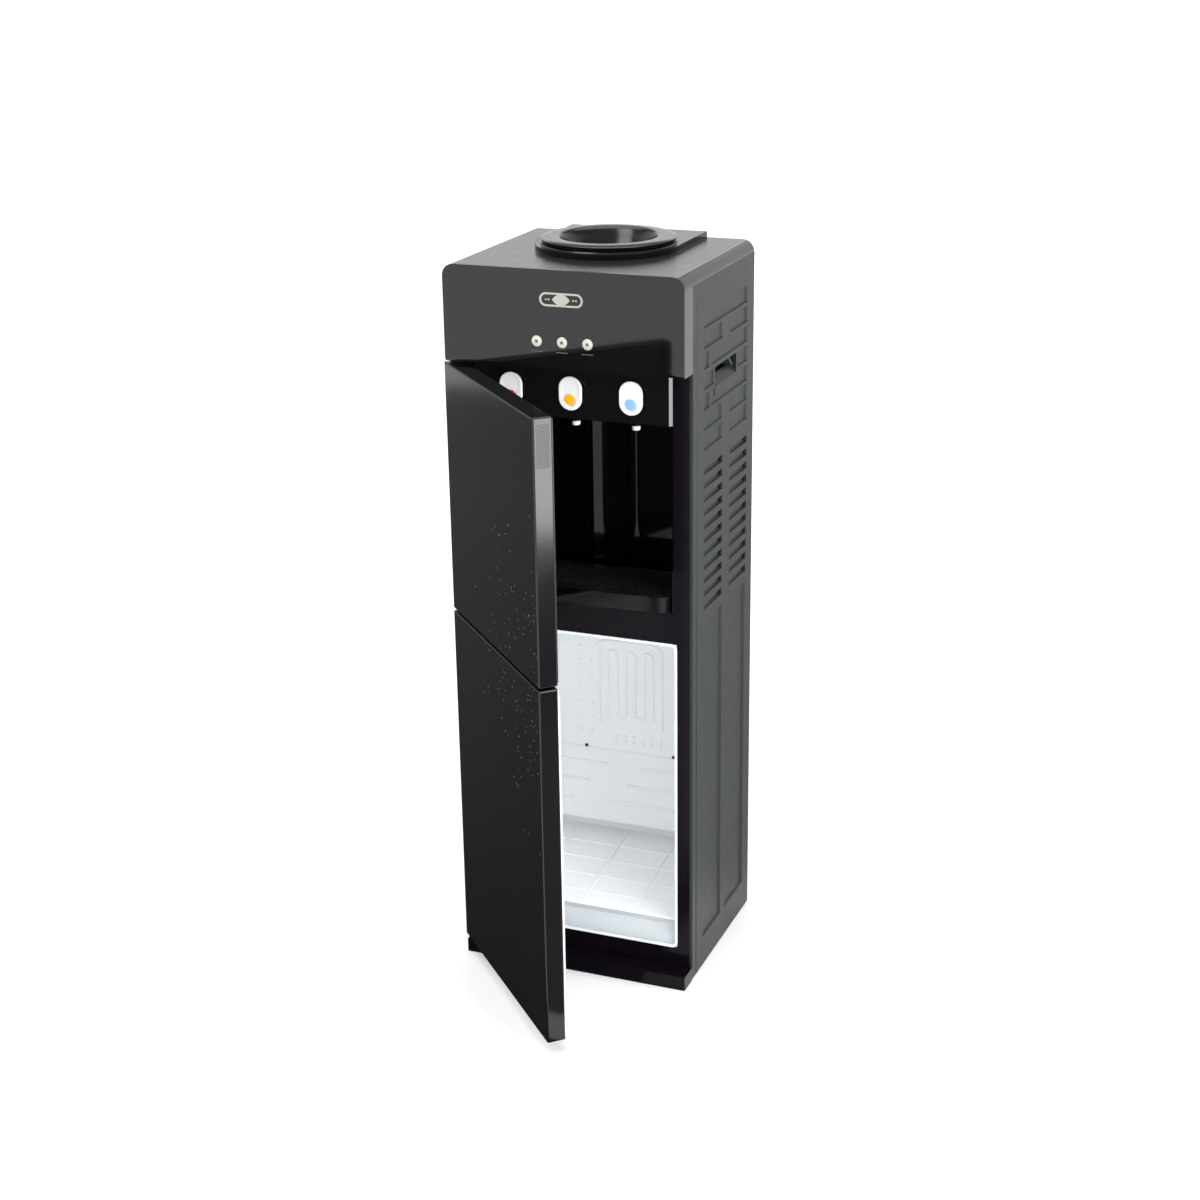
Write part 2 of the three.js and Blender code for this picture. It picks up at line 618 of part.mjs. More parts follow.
// The alcove's plan: round rear corners and a back wall that bows towards the front.
function alcovePlan(grow, y0) {
  const half = ALCOVE_HALF - GAP - LINER + grow;
  const back = ALCOVE_BACK + grow;
  const corner = ALCOVE_CORNER + grow;
  const plan = new THREE.Shape();
  plan.moveTo(-half, y0);
  plan.lineTo(half, y0);
  plan.lineTo(half, back - corner);
  plan.absarc(half - corner, back - corner, corner, 0, Math.PI / 2);
  plan.quadraticCurveTo(0, back - ALCOVE_BOW, -half + corner, back);
  plan.absarc(-half + corner, back - corner, corner, Math.PI / 2, Math.PI);
  return plan;
}

function alcoveLiner() {
  const y0 = FACE + SKIN + GAP;
  const high = FASCIA_LOW - GAP;
  return cut(
    raised(alcovePlan(LINER, y0), ALCOVE_LOW - LINER, high, 6),
    raised(alcovePlan(0, y0 - 1), ALCOVE_LOW, high - LINER, 6),
    ...TAP_X.map((x) => post(x, NOZZLE_Y, NOZZLE_RADIUS + 2, high - 10, high + 1, 16)),
  );
}

const FLOOR_FRONT = FACE + 16;
const FLOOR_LOW = FRIDGE_LOW + FLOOR_STEP;
const HUMP_FOOT = FRIDGE_BACK - HUMP_DEPTH;
const FLOOR_HIGH = FLOOR_LOW + FLOOR_RISE;
const HUMP_NOSE = 16;

// The fridge's space seen from the side, shrunk by inset, its mouth at y0.
function fridgeSpace(inset, y0, half) {
  const back = FRIDGE_BACK - inset;
  const foot = HUMP_FOOT - inset;
  return across([
    [y0, FRIDGE_LOW + inset], [FACE + 6, FRIDGE_LOW + inset], [FLOOR_FRONT, FLOOR_LOW - 12 + inset],
    [FLOOR_FRONT + 1, FLOOR_LOW + inset], [foot, FLOOR_HIGH + inset],
    [foot, FLOOR_HIGH + HUMP_NOSE + inset], [back, FRIDGE_LOW + HUMP_HEIGHT + inset],
    [back, FRIDGE_TOP - inset], [y0, FRIDGE_TOP - inset],
  ], -half + inset, half - inset);
}

function fridgeLiner() {
  return cut(
    fridgeSpace(GAP, FACE - 0.5, FRIDGE_HALF),
    fridgeSpace(LINER + GAP, FACE - 5, FRIDGE_HALF),
  );
}

function insulation() {
  const half = INNER_HALF - GAP;
  const y0 = FACE + SKIN + GAP;
  const low = BASE_HEIGHT + GAP;
  return cut(
    box(-half, half, y0, BACK - REAR_SPACE + 12, low, MACHINE_DECK - 10),
    fridgeSpace(0, FACE - 5, FRIDGE_HALF),
    box(-FRIDGE_HALF + 20, FRIDGE_HALF - 20, FRIDGE_BACK, FRIDGE_BACK + 4, FRIDGE_LOW + HUMP_HEIGHT + 8, FRIDGE_TOP - 4),
  );
}

function evaporatorPlate() {
  return box(-FRIDGE_HALF + 22, FRIDGE_HALF - 22, FRIDGE_BACK + 1, FRIDGE_BACK + 3,
    FRIDGE_LOW + HUMP_HEIGHT + 10, FRIDGE_TOP - 6);
}

// ---- Taps ----
const NOZZLE_Y = FACE + 12;
const VALVE_Y = FASCIA_FACE + TAB_POCKET + 4;
const NOZZLE_ROOT = 8;

// The axle a tab turns on, and with play the sockets that hold it.
function tabAxle(x, play) {
  const reach = TAB_WIDTH / 2 + 4 + play;
  return rod(x - reach, x + reach, TAB_FACE + TAB_THICKNESS + 1, TAB_MIDDLE + TAB_AXLE, AXLE_RADIUS + play);
}

function tapFascia() {
  const half = ALCOVE_HALF - GAP;
  const chamfer = 4;
  const high = HEAD_LOW - GAP;
  const y1 = FACE + 30;
  const plan = new THREE.Shape();
  plan.moveTo(-half, y1);
  plan.lineTo(-half, FASCIA_FACE + chamfer);
  plan.lineTo(-half + chamfer, FASCIA_FACE);
  plan.lineTo(half - chamfer, FASCIA_FACE);
  plan.lineTo(half, FASCIA_FACE + chamfer);
  plan.lineTo(half, y1);
  const y0 = VALVE_Y - 1;
  const inside = box(-half + SKIN + 1, half - SKIN - 1, y0, y1 + 1, FASCIA_LOW + SKIN, high - SKIN);
  const windows = TAP_X.map((x) =>
    pushed(tabOutline(x, TAB_MIDDLE, TAB_WIDTH + 2 * TAB_MARGIN, TAB_HEIGHT + 2 * TAB_MARGIN),
      FASCIA_FACE - 1, FASCIA_FACE + TAB_POCKET, 6));
  const stems = TAP_X.map((x) => disc(x, TAB_MIDDLE - 8, 7, FASCIA_FACE + TAB_POCKET - 1, y0 + 1, 10));
  const axles = TAP_X.map((x) => tabAxle(x, RUNNING_GAP));
  const outlets = TAP_X.map((x) =>
    post(x, NOZZLE_Y, NOZZLE_RADIUS + GAP, FASCIA_LOW - 1, FASCIA_LOW + NOZZLE_ROOT + GAP, 16));
  return cut(raised(plan, FASCIA_LOW, high), inside, ...windows, ...stems, ...axles, ...outlets);
}

function tapBody(x) {
  const tip = FASCIA_LOW - NOZZLE_DROP;
  const root = FASCIA_LOW + NOZZLE_ROOT;
  return cut(join(
    post(x, NOZZLE_Y, NOZZLE_RADIUS, tip, root, 16),
    box(x - 5, x + 5, VALVE_Y, NOZZLE_Y + 9, FASCIA_LOW + SKIN + GAP, TAB_MIDDLE - 4),
    disc(x, TAB_MIDDLE - 8, 9, VALVE_Y, VALVE_Y + 16, 14),
    disc(x, TAB_MIDDLE - 8, 5, VALVE_Y + 10, VALVE_Y + 30, 10),
  ), post(x, NOZZLE_Y, NOZZLE_RADIUS - 2, tip - 1, FASCIA_LOW + 5, 12));
}

function tapTab(x) {
  const plate = pushed(tabOutline(x, TAB_MIDDLE, TAB_WIDTH, TAB_HEIGHT), TAB_FACE, TAB_FACE + TAB_THICKNESS, 6);
  const dot = disc(x, tabDotHeight(), DOT_RADIUS + GAP, TAB_FACE - 1, TAB_FACE + 1.5, 24);
  return join(cut(plate, dot), tabAxle(x, 0));
}

const tabDotHeight = () => TAB_MIDDLE - TAB_HEIGHT / 2 + TAB_WIDTH / 2 - 2;

function tapDot(x) {
  return disc(x, tabDotHeight(), DOT_RADIUS, TAB_FACE - 0.4, TAB_FACE + 1.5 - GAP, 24);
}

// ---- Drip tray ----
const TRAY_HALF = ALCOVE_HALF - GAP - LINER - TRAY_CLEARANCE;
const SEAT = TRAY_TOP - TRAY_LIP;
const trayPlan = (inset) => roundedRect(
  -TRAY_HALF + inset, TRAY_HALF - inset,
  FACE - TRAY_PROUD + inset, ALCOVE_BACK - TRAY_SHORT - inset,
  TRAY_CORNER - inset, ALCOVE_CORNER - inset);

function dripTray() {
  const low = ALCOVE_LOW + GAP;
  return cut(
    raised(trayPlan(0), low, TRAY_TOP, 4),
    raised(trayPlan(LINER), low + LINER, SEAT, 4),
    raised(trayPlan(LINER - 1), SEAT, TRAY_TOP + 1, 4),
  );
}

const GRILLE_COLUMNS = 9;
const GRILLE_ROWS = 2;
const GRILLE_RIM = 12;
const GRILLE_BAR = 6;
const GRILLE_PLAY = 1.3;         // grille edge to the tray's rim

function trayGrille() {
  const plate = raised(trayPlan(LINER - 1 + GRILLE_PLAY), SEAT + GAP, TRAY_TOP - 0.6, 4);
  const x0 = -TRAY_HALF + GRILLE_RIM;
  const y0 = FACE - TRAY_PROUD + GRILLE_RIM;
  const pitch = (-2 * x0) / GRILLE_COLUMNS;
  const run = (ALCOVE_BACK - TRAY_SHORT - GRILLE_RIM - y0) / GRILLE_ROWS;
  const bar = GRILLE_BAR / 2;
  const slots = [];
  for (let i = 0; i < GRILLE_COLUMNS; i += 1) {
    for (let j = 0; j < GRILLE_ROWS; j += 1) {
      const x = x0 + i * pitch;
      const y = y0 + j * run;
      slots.push(box(x + bar, x + pitch - bar, y + bar, y + run - bar, SEAT - 1, TRAY_TOP + 1));
    }
  }
  return cut(plate, ...slots);
}

// ---- Rear ----
const SWITCH_Z = HEAD_LOW + 20;
const SWITCH_X = [-14, 14];
const ROCKER_HALF = 9;
const ROCKER_PIVOT = -4;
const ROCKER_TILT = 8;           // degrees
const ROCKER_Y = REAR_SHEET + 2;
const GLAND_X = 90;
const GLAND_Z = FRIDGE_TOP + 60;
const DRAIN_Z = FRIDGE_TOP + 45;
const DRAIN_X = HOT_X;

function rearPanel() {
  const half = INNER_HALF - GAP;
  const sheet = box(-half, half, REAR_SHEET, REAR_SHEET + SHEET, BASE_HEIGHT - 12, CASE_TOP - 4);
  const vents = [];
  for (let i = 0; i < 8; i += 1) {
    const z = MACHINE_DECK + 70 + i * 14;
    vents.push(box(-70, 70, REAR_SHEET - 1, REAR_SHEET + 2, z, z + 5));
  }
  return cut(sheet, ...vents,
    box(-32, 32, REAR_SHEET - 1, REAR_SHEET + 2, SWITCH_Z - 16, SWITCH_Z + 16),
    disc(GLAND_X, GLAND_Z, 9 + GAP, REAR_SHEET - 1, REAR_SHEET + 2, 20),
    disc(DRAIN_X, DRAIN_Z, 9 + GAP, REAR_SHEET - 1, REAR_SHEET + 2, 20));
}

function switchHousing() {
  const y0 = REAR_SHEET - 14;
  const body = join(
    box(-31, 31, y0, REAR_SHEET + 2, SWITCH_Z - 15, SWITCH_Z + 15),
    box(-35, 35, REAR_SHEET + SHEET + GAP, REAR_SHEET + 3, SWITCH_Z - 19, SWITCH_Z + 19),
  );
  return cut(body, ...SWITCH_X.flatMap((x) => [
    box(x - ROCKER_HALF - 1, x + ROCKER_HALF + 1, y0 + 2, REAR_SHEET + 5, SWITCH_Z - 12, SWITCH_Z + 12),
    rod(x - ROCKER_HALF - 2.5, x + ROCKER_HALF + 2.5, ROCKER_Y + ROCKER_PIVOT, SWITCH_Z, 1.5 + RUNNING_GAP),
  ]));
}

// A rocker: its two faces slope back from the middle, so it can tip each way.
function switchRocker() {
  const reach = 11;
  return join(
    across([[-9, -6], [-9, 6], [-2.5, reach], [2.2, reach], [0.6, 0], [2.2, -reach], [-2.5, -reach]],
      -ROCKER_HALF, ROCKER_HALF),
    rod(-ROCKER_HALF - 2, ROCKER_HALF + 2, ROCKER_PIVOT, 0, 1.5),
  );
}

function cordGland() {
  const y = REAR_SHEET;
  return cut(join(
    disc(GLAND_X, GLAND_Z, 9, y - 6, y + 3, 20),
    disc(GLAND_X, GLAND_Z, 12, y + SHEET + GAP, y + 4, 20),
  ), disc(GLAND_X, GLAND_Z, 4, y - 7, y + 5, 16));
}

function drainPlug() {
  const y = REAR_SHEET;
  return join(
    disc(DRAIN_X, DRAIN_Z, 6 - GAP, y - 6, y + 5, 16),
    disc(DRAIN_X, DRAIN_Z, 10, y + 3 + GAP, y + 9, 24));
}

// ---- Water tubes ----
function waterTube(name, x) {
  const y = VALVE_Y + 30 + GAP;
  const z = TAB_MIDDLE - 8;
  const jacket = TANK_RADIUS + 1 + JACKET_WALL;
  const start = [[x, y, z], [x, y + 14, z]];
  const routes = {
    hot: [[x - 7, y + 60, z - 10], [x - 11, MACHINE_Y - 24, z - 34],
      [HOT_X, MACHINE_Y, HOT_LOW + HOT_TANK_HEIGHT + 30], [HOT_X, MACHINE_Y, HOT_LOW + HOT_TANK_HEIGHT + 1]],
    normal: [[x, COLLAR_Y - jacket - 1, z]],
    cold: [[x + 3, y + 50, z + 4], [x, COLLAR_Y - 8, z + 6], [jacket + 6, COLLAR_Y, z + 6]],
  };
  return tube([...start, ...routes[name]], 4, 6, name === 'normal' ? 2 : 12);
}

// ---- Doors, built shut and then swung open about the hinge line ----
function doorShell(z0, z1) {
  const x0 = -HALF + DOOR_INSET;
  const x1 = HALF - DOOR_INSET;
  const y1 = FRONT + DOOR_DEPTH - 2;
  const shell = cut(
    box(x0, x1, FRONT, y1, z0, z1),
    box(x0 + DOOR_WALL, x1 - DOOR_WALL, FRONT + DOOR_WALL, y1 + 1, z0 + DOOR_WALL, z1 - DOOR_WALL),
  );
  return cut(join(shell, ...hingeBosses(z0, z1)), ...hingeBores(z0, z1));
}

const BOSS = 12;
const hingeBosses = (z0, z1) => [
  [z0 + 1, z0 + BOSS + 3], [z1 - BOSS - 3, z1 - 1],
].map(([low, high]) => box(
  -HALF + DOOR_INSET + 1, HINGE_X + BOSS / 2 + 1, FRONT + 1, FRONT + DOOR_DEPTH - 3, low, high));
const hingeBores = (z0, z1) => [[z0 - 1, z0 + BOSS], [z1 - BOSS, z1 + 1]].map(([low, high]) =>
  post(HINGE_X, HINGE_Y, HINGE_PIN_RADIUS + RUNNING_GAP, low, high, 16));

// A dished inner panel: a rim at the back and a floor well behind the door's skin.
function doorPan(z0, z1, floorDepth, thickness) {
  const inset = DOOR_WALL + GAP;
  const x0 = -HALF + DOOR_INSET + inset;
  const x1 = HALF - DOOR_INSET - inset;
  const rim = 4;
  const back = FRONT + DOOR_DEPTH - 2 + 2;
  const floor = FRONT + floorDepth;
  const outer = box(x0, x1, floor, back, z0 + inset, z1 - inset);
  const clear = BOSS + HINGE_INSET + 2;
  return cut(outer,
    box(x0 + rim, x1 - rim, floor + thickness, back + 1, z0 + inset + rim, z1 - inset - rim),
    ...[[z0, z0 + BOSS + 4], [z1 - BOSS - 4, z1]].map(([low, high]) =>
      box(x0 - 1, x0 + clear, FRONT, FRONT + DOOR_DEPTH - 3 + GAP, low, high)));
}

function lowerDoorLiner() {
  const z0 = DOOR_LOW;
  const z1 = DOOR_SPLIT - DOOR_GAP / 2;
  return doorPan(z0, z1, 18, 3);
}

function doorGasket(z0, z1) {
  const inset = 12;
  const width = 10;
  const y0 = FRONT + DOOR_DEPTH + GAP;
  const y1 = FACE - 0.6;
  const x0 = -HALF + DOOR_INSET + inset;
  const x1 = HALF - DOOR_INSET - inset + 6;
  return cut(
    box(x0, x1, y0, y1, z0 + inset, z1 - inset),
    box(x0 + width, x1 - width, y0 - 1, y1 + 1, z0 + inset + width, z1 - inset - width),
  );
}

// ---- Hinges ----
function hingePlate(z, pinLow, pinHigh) {
  const x0 = -HALF + 3;
  const x1 = HINGE_X + 14;
  const leaf = box(x0, x1, HINGE_Y - 7, FACE - GAP, z - HINGE_PLATE / 2, z + HINGE_PLATE / 2);
  const pin = post(HINGE_X, HINGE_Y, HINGE_PIN_RADIUS, pinLow, pinHigh, 16);
  return join(leaf, pin);
}

const PIN_REACH = 10;
const hinges = {
  hinge_top: [HEAD_LOW - DOOR_GAP / 2, HEAD_LOW - DOOR_GAP / 2 - PIN_REACH, HEAD_LOW - DOOR_GAP / 2],
  hinge_middle: [DOOR_SPLIT, DOOR_SPLIT - PIN_REACH, DOOR_SPLIT + PIN_REACH],
  hinge_bottom: [BASE_HEIGHT + DOOR_GAP / 2, BASE_HEIGHT + DOOR_GAP / 2, BASE_HEIGHT + DOOR_GAP / 2 + PIN_REACH],
};

// ---- Cabinet ----
const cabinet = new THREE.Group();
dispenser.add(cabinet);
place(cabinet, 'base_pan', basePan(), painted);
for (const foot of footCentres) {
  place(cabinet, foot.name, post(foot.x, foot.y, FOOT_RADIUS, 0, FOOT_THICKNESS), rubber);
}
place(cabinet, 'left_side_panel', sidePanel(-1), grain);
place(cabinet, 'right_side_panel', sidePanel(1), grain);
place(cabinet, 'top_cover', topCover(), satin);
place(cabinet, 'head_front_panel', cut(headFrontPanel(), badgeRecess()), gloss);
place(cabinet, 'badge_plate', badgePlate(), silver);
['heating', 'power', 'cooling'].forEach((name, i) => {
  place(cabinet, `${name}_lamp_lens`, lampLens(i), white);
});
place(cabinet, 'control_board', controlBoard(), board);
place(cabinet, 'bottle_collar', bottleCollar(), gloss);
place(cabinet, 'bottle_probe', bottleProbe(), white);
place(cabinet, 'cold_tank', coldTank(), steel);
place(cabinet, 'cold_tank_lid', coldTankLid(), white);
place(cabinet, 'cold_tank_jacket', coldTankJacket(), foam);
place(cabinet, 'hot_tank', hotTank(), steel);
place(cabinet, 'hot_tank_thermostat', thermostat(), satin);
place(cabinet, 'compressor', compressor(), painted);
place(cabinet, 'compressor_grommet_left', compressorGrommet(-1), rubber);
place(cabinet, 'compressor_grommet_right', compressorGrommet(1), rubber);
place(cabinet, 'machine_deck', machineDeck(), steel);
place(cabinet, 'condenser_coil', condenserCoil(), painted);
place(cabinet, 'front_frame', frontFrame(), gloss);
place(cabinet, 'alcove_liner', alcoveLiner(), gloss);
place(cabinet, 'fridge_liner', fridgeLiner(), white);
place(cabinet, 'fridge_insulation', insulation(), foam);
place(cabinet, 'evaporator_plate', evaporatorPlate(), copper);
place(cabinet, 'tap_fascia', tapFascia(), gloss);
place(cabinet, 'rear_panel', rearPanel(), painted);
place(cabinet, 'switch_housing', switchHousing(), satin);
place(cabinet, 'cord_gland', cordGland(), satin);
place(cabinet, 'drain_plug', drainPlug(), satin);
for (const [name, [z, low, high]] of Object.entries(hinges)) {
  place(cabinet, name, hingePlate(z, low, high), steel);
}

// ---- Moving pieces ----
TAP_NAMES.forEach((name, i) => {
  const colour = finish(tapColours[name], 0.3);
  place(cabinet, `${name}_tap_body`, tapBody(TAP_X[i]), white);
  place(cabinet, `${name}_tap_tab`, tapTab(TAP_X[i]), white);
  place(cabinet, `${name}_tap_dot`, tapDot(TAP_X[i]), colour);
  place(cabinet, `${name}_water_tube`, waterTube(name, TAP_X[i]), silicone);
});
place(cabinet, 'drip_tray', dripTray(), gloss);
place(cabinet, 'tray_grille', trayGrille(), satin);
['hot', 'cold'].forEach((name, i) => {
  const pivot = new THREE.Group();
  pivot.position.set(SWITCH_X[i], ROCKER_Y + ROCKER_PIVOT, SWITCH_Z);
  pivot.rotation.x = THREE.MathUtils.degToRad(-ROCKER_TILT);
  const centred = new THREE.Group();
  centred.position.set(0, -ROCKER_PIVOT, 0);
  pivot.add(centred);
  cabinet.add(pivot);
  place(centred, `${name}_switch_rocker`, switchRocker(), satin);
});

// ---- Doors ----
const doors = new THREE.Group();
doors.position.set(HINGE_X, HINGE_Y, 0);
doors.rotation.z = THREE.MathUtils.degToRad(-DOOR_OPEN);
dispenser.add(doors);
const shut = new THREE.Group();
shut.position.set(-HINGE_X, -HINGE_Y, 0);
doors.add(shut);
const upper = [DOOR_SPLIT + DOOR_GAP / 2, DOOR_HIGH];
const lower = [DOOR_LOW, DOOR_SPLIT - DOOR_GAP / 2];
place(shut, 'upper_door_shell', doorShell(...upper), gloss);
place(shut, 'upper_door_inner_panel', doorPan(...upper, 6, 2), satin);
place(shut, 'lower_door_shell', doorShell(...lower), gloss);
place(shut, 'lower_door_liner', lowerDoorLiner(), white);
place(shut, 'lower_door_gasket', doorGasket(...lower), white);

export default dispenser;
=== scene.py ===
import json
import math

import bmesh
import bpy
from mathutils import Matrix, Vector


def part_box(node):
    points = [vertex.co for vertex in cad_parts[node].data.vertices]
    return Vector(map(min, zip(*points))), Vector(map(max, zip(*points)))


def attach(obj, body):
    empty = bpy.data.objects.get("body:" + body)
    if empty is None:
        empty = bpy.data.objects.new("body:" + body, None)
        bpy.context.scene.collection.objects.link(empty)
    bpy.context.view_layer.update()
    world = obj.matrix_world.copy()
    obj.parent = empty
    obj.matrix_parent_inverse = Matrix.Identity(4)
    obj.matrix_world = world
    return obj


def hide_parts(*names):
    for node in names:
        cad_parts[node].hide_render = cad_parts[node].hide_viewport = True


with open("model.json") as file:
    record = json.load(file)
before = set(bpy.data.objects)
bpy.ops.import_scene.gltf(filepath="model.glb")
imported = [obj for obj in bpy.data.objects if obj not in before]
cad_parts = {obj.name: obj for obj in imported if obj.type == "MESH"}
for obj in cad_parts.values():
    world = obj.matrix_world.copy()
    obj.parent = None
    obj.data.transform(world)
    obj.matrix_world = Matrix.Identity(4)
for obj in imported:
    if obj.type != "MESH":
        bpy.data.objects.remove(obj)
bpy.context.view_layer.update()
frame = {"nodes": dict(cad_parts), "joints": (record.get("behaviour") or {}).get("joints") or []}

NODES = frame["nodes"]
SCENE = bpy.context.scene
MM = 0.001


def corners(node):
    """A piece's lowest and highest corner, in millimetres."""
    low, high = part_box(node)
    return low * 1000, high * 1000


# ---- Planes of the cabinet, in millimetres, read from the pieces that set them ----
HEAD_LOW_CORNER, HEAD_HIGH_CORNER = corners("head_front_panel")
SIDE_LOW_CORNER, SIDE_HIGH_CORNER = corners("right_side_panel")
HALF = HEAD_HIGH_CORNER.x
FRONT = HEAD_LOW_CORNER.y
HEAD_LOW = HEAD_LOW_CORNER.z
DECK = HEAD_HIGH_CORNER.z
FACE = SIDE_LOW_CORNER.y
BACK = SIDE_HIGH_CORNER.y
CASE_TOP = SIDE_HIGH_CORNER.z
ALCOVE_LOW_CORNER, ALCOVE_HIGH_CORNER = corners("alcove_liner")
FRIDGE_LOW_CORNER, FRIDGE_HIGH_CORNER = corners("fridge_liner")
COLLAR_LOW_CORNER, COLLAR_HIGH_CORNER = corners("bottle_collar")
COLLAR_Y = (COLLAR_LOW_CORNER.y + COLLAR_HIGH_CORNER.y) / 2
COLLAR_TOP = COLLAR_HIGH_CORNER.z
GAP = 0.3

# ---- The doors are built shut, and then turned to where they stand ----
DOOR_JOINT = next(j for j in frame["joints"] if j["name"] == "upper_door_hinge")
HINGE = Vector(DOOR_JOINT["pos_m"])
OPEN = math.radians(-46)
SWING = Matrix.Translation(HINGE) @ Matrix.Rotation(OPEN, 4, "Z") @ Matrix.Translation(-HINGE)
DOOR_HALF = HALF - 2
DOOR_BACK = FRONT + 25.8
UPPER_LOW = corners("upper_door_shell")[0].z
UPPER_HIGH = corners("upper_door_shell")[1].z
LOWER_LOW = corners("lower_door_shell")[0].z
LOWER_HIGH = corners("lower_door_shell")[1].z


# ---- Finishes ----
def link_noise(tree, scale, detail, stretch=(1, 1, 1)):
    """Noise on the piece's own coordinates, one unit to the metre."""
    place = tree.nodes.new("ShaderNodeTexCoord")
    spread = tree.nodes.new("ShaderNodeMapping")
    spread.inputs["Scale"].default_value = stretch
    noise = tree.nodes.new("ShaderNodeTexNoise")
    noise.inputs["Scale"].default_value = scale
    noise.inputs["Detail"].default_value = detail
    tree.links.new(place.outputs["Object"], spread.inputs["Vector"])
    tree.links.new(spread.outputs["Vector"], noise.inputs["Vector"])
    return noise


def finish(name, colour, roughness, spread=0.04, shade=0.08, grain=None, metallic=0.0,
           specular=0.5, coat=0.0, stretch=(1, 1, 1), mottle=9.0, subsurface=0.0):
    """A moulded, painted or metal surface: colour and gloss drift a little, and a grain lifts it."""
    material = bpy.data.materials.new(name)
    material.use_nodes = True
    tree = material.node_tree
    shader = tree.nodes["Principled BSDF"]
    shader.inputs["Metallic"].default_value = metallic
    shader.inputs["Specular IOR Level"].default_value = specular
    shader.inputs["Coat Weight"].default_value = coat
    shader.inputs["Coat Roughness"].default_value = 0.04
    if subsurface:
        shader.inputs["Subsurface Weight"].default_value = subsurface
        shader.inputs["Subsurface Scale"].default_value = 0.004
    drift = link_noise(tree, mottle, 3, stretch)
    tint = tree.nodes.new("ShaderNodeMix")
    tint.data_type = "RGBA"
    tint.inputs["A"].default_value = (*[c * (1 - shade) for c in colour], 1)
    tint.inputs["B"].default_value = (*[min(1, c * (1 + shade)) for c in colour], 1)
    tree.links.new(drift.outputs["Fac"], tint.inputs["Factor"])
    tree.links.new(tint.outputs["Result"], shader.inputs["Base Color"])
    gloss = tree.nodes.new("ShaderNodeMapRange")
    gloss.inputs["To Min"].default_value = max(0.02, roughness - spread)
    gloss.inputs["To Max"].default_value = roughness + spread
    tree.links.new(link_noise(tree, mottle * 4, 2, stretch).outputs["Fac"], gloss.inputs["Value"])
    tree.links.new(gloss.outputs["Result"], shader.inputs["Roughness"])
    if grain:
        scale, strength, depth = grain
        bump = tree.nodes.new("ShaderNodeBump")
        bump.inputs["Strength"].default_value = strength
        bump.inputs["Distance"].default_value = depth
        tree.links.new(link_noise(tree, scale, 2, stretch).outputs["Fac"], bump.inputs["Height"])
        tree.links.new(bump.outputs["Normal"], shader.inputs["Normal"])
    return material


PIANO_BLACK = finish("Piano black", (0.004, 0.0035, 0.0045), 0.06, 0.02, grain=(26, 0.02, 0.001),
                     specular=0.56)
COLLAR_BLACK = finish("Collar black", (0.005, 0.005, 0.0055), 0.2, 0.04, grain=(60, 0.03, 0.0005))
DOOR_EDGE = finish("Door edge", (0.004, 0.0034, 0.0045), 0.12, 0.03, grain=(40, 0.02, 0.0008))
# Slightly darker grey for the louvre scoops and the handle pocket: painted shade in the recesses.
LOUVRE_PAINTED_SHADE = finish("Louvre painted shade", (0.016, 0.018, 0.019), 0.5, 0.05, grain=(1400, 0.2, 0.0003),
                      specular=0.2)
DOOR_BLACK = finish("Door black", (0.0035, 0.003, 0.004), 0.1, 0.02, grain=(30, 0.015, 0.001),
                    specular=0.12)
FRAME_BLACK = finish("Frame black", (0.004, 0.0028, 0.0048), 0.16, 0.03, grain=(60, 0.03, 0.0006),
                     specular=0.12)
ALCOVE_BLACK = finish("Alcove black", (0.0015, 0.001, 0.0018), 0.07, 0.02, grain=(24, 0.02, 0.001),
                      specular=0.3)
DECK_SATIN = finish("Deck satin", (0.014, 0.016, 0.016), 0.26, 0.03, grain=(900, 0.12, 0.0002))
CASE_GRAIN = finish("Cabinet grain", (0.019, 0.0225, 0.0235), 0.46, 0.05, grain=(1400, 0.25, 0.0003),
                    specular=0.3)
INNER_BLACK = finish("Inner black", (0.01, 0.01, 0.011), 0.3, 0.05, grain=(300, 0.1, 0.0003))
LINER_WHITE = finish("Liner white", (0.92, 0.94, 0.955), 0.32, 0.05, 0.02, grain=(120, 0.04, 0.0004),
                     subsurface=0.05)
# A darker white for the drop under the fridge floor's front edge: painted shade.
LINER_PAINTED_SHADE = finish("Liner painted shade", (0.56, 0.6, 0.63), 0.36, 0.05, 0.02, grain=(120, 0.04, 0.0004))
TAB_WHITE = finish("Tab white", (0.9, 0.91, 0.92), 0.16, 0.03, 0.02, grain=(80, 0.02, 0.0003), coat=0.4)
NOZZLE_WHITE = finish("Nozzle white", (0.85, 0.86, 0.87), 0.25, 0.04, 0.03, grain=(90, 0.03, 0.0003))
LENS_CREAM = finish("Lens cream", (0.58, 0.57, 0.49), 0.22, 0.04, 0.04, grain=(200, 0.05, 0.0002), coat=0.6)
BADGE_SILVER = finish("Badge silver", (0.5, 0.485, 0.43), 0.42, 0.05, 0.06, metallic=0.85,
                      grain=(700, 0.08, 0.0001))
PRINT_GREY = finish("Print grey", (0.11, 0.11, 0.115), 0.4, 0.05, 0.1)
DOOR_SPARK = finish("Door spark", (0.085, 0.088, 0.09), 0.5, 0.05, 0.5, mottle=160)
DOT_RED = finish("Dot red", (0.78, 0.06, 0.04), 0.2, 0.04, 0.05, coat=0.5)
DOT_AMBER = finish("Dot amber", (0.95, 0.5, 0.02), 0.2, 0.04, 0.05, coat=0.5)
DOT_BLUE = finish("Dot blue", (0.26, 0.52, 0.8), 0.2, 0.04, 0.05, coat=0.5)
GALVANISED = finish("Galvanised", (0.55, 0.56, 0.58), 0.38, 0.08, 0.12, metallic=0.9, mottle=40,
                    grain=(160, 0.1, 0.0004))
STAINLESS = finish("Stainless", (0.6, 0.6, 0.61), 0.28, 0.06, 0.06, metallic=1.0, stretch=(1, 1, 0.05),
                   mottle=120, grain=(400, 0.08, 0.0002))
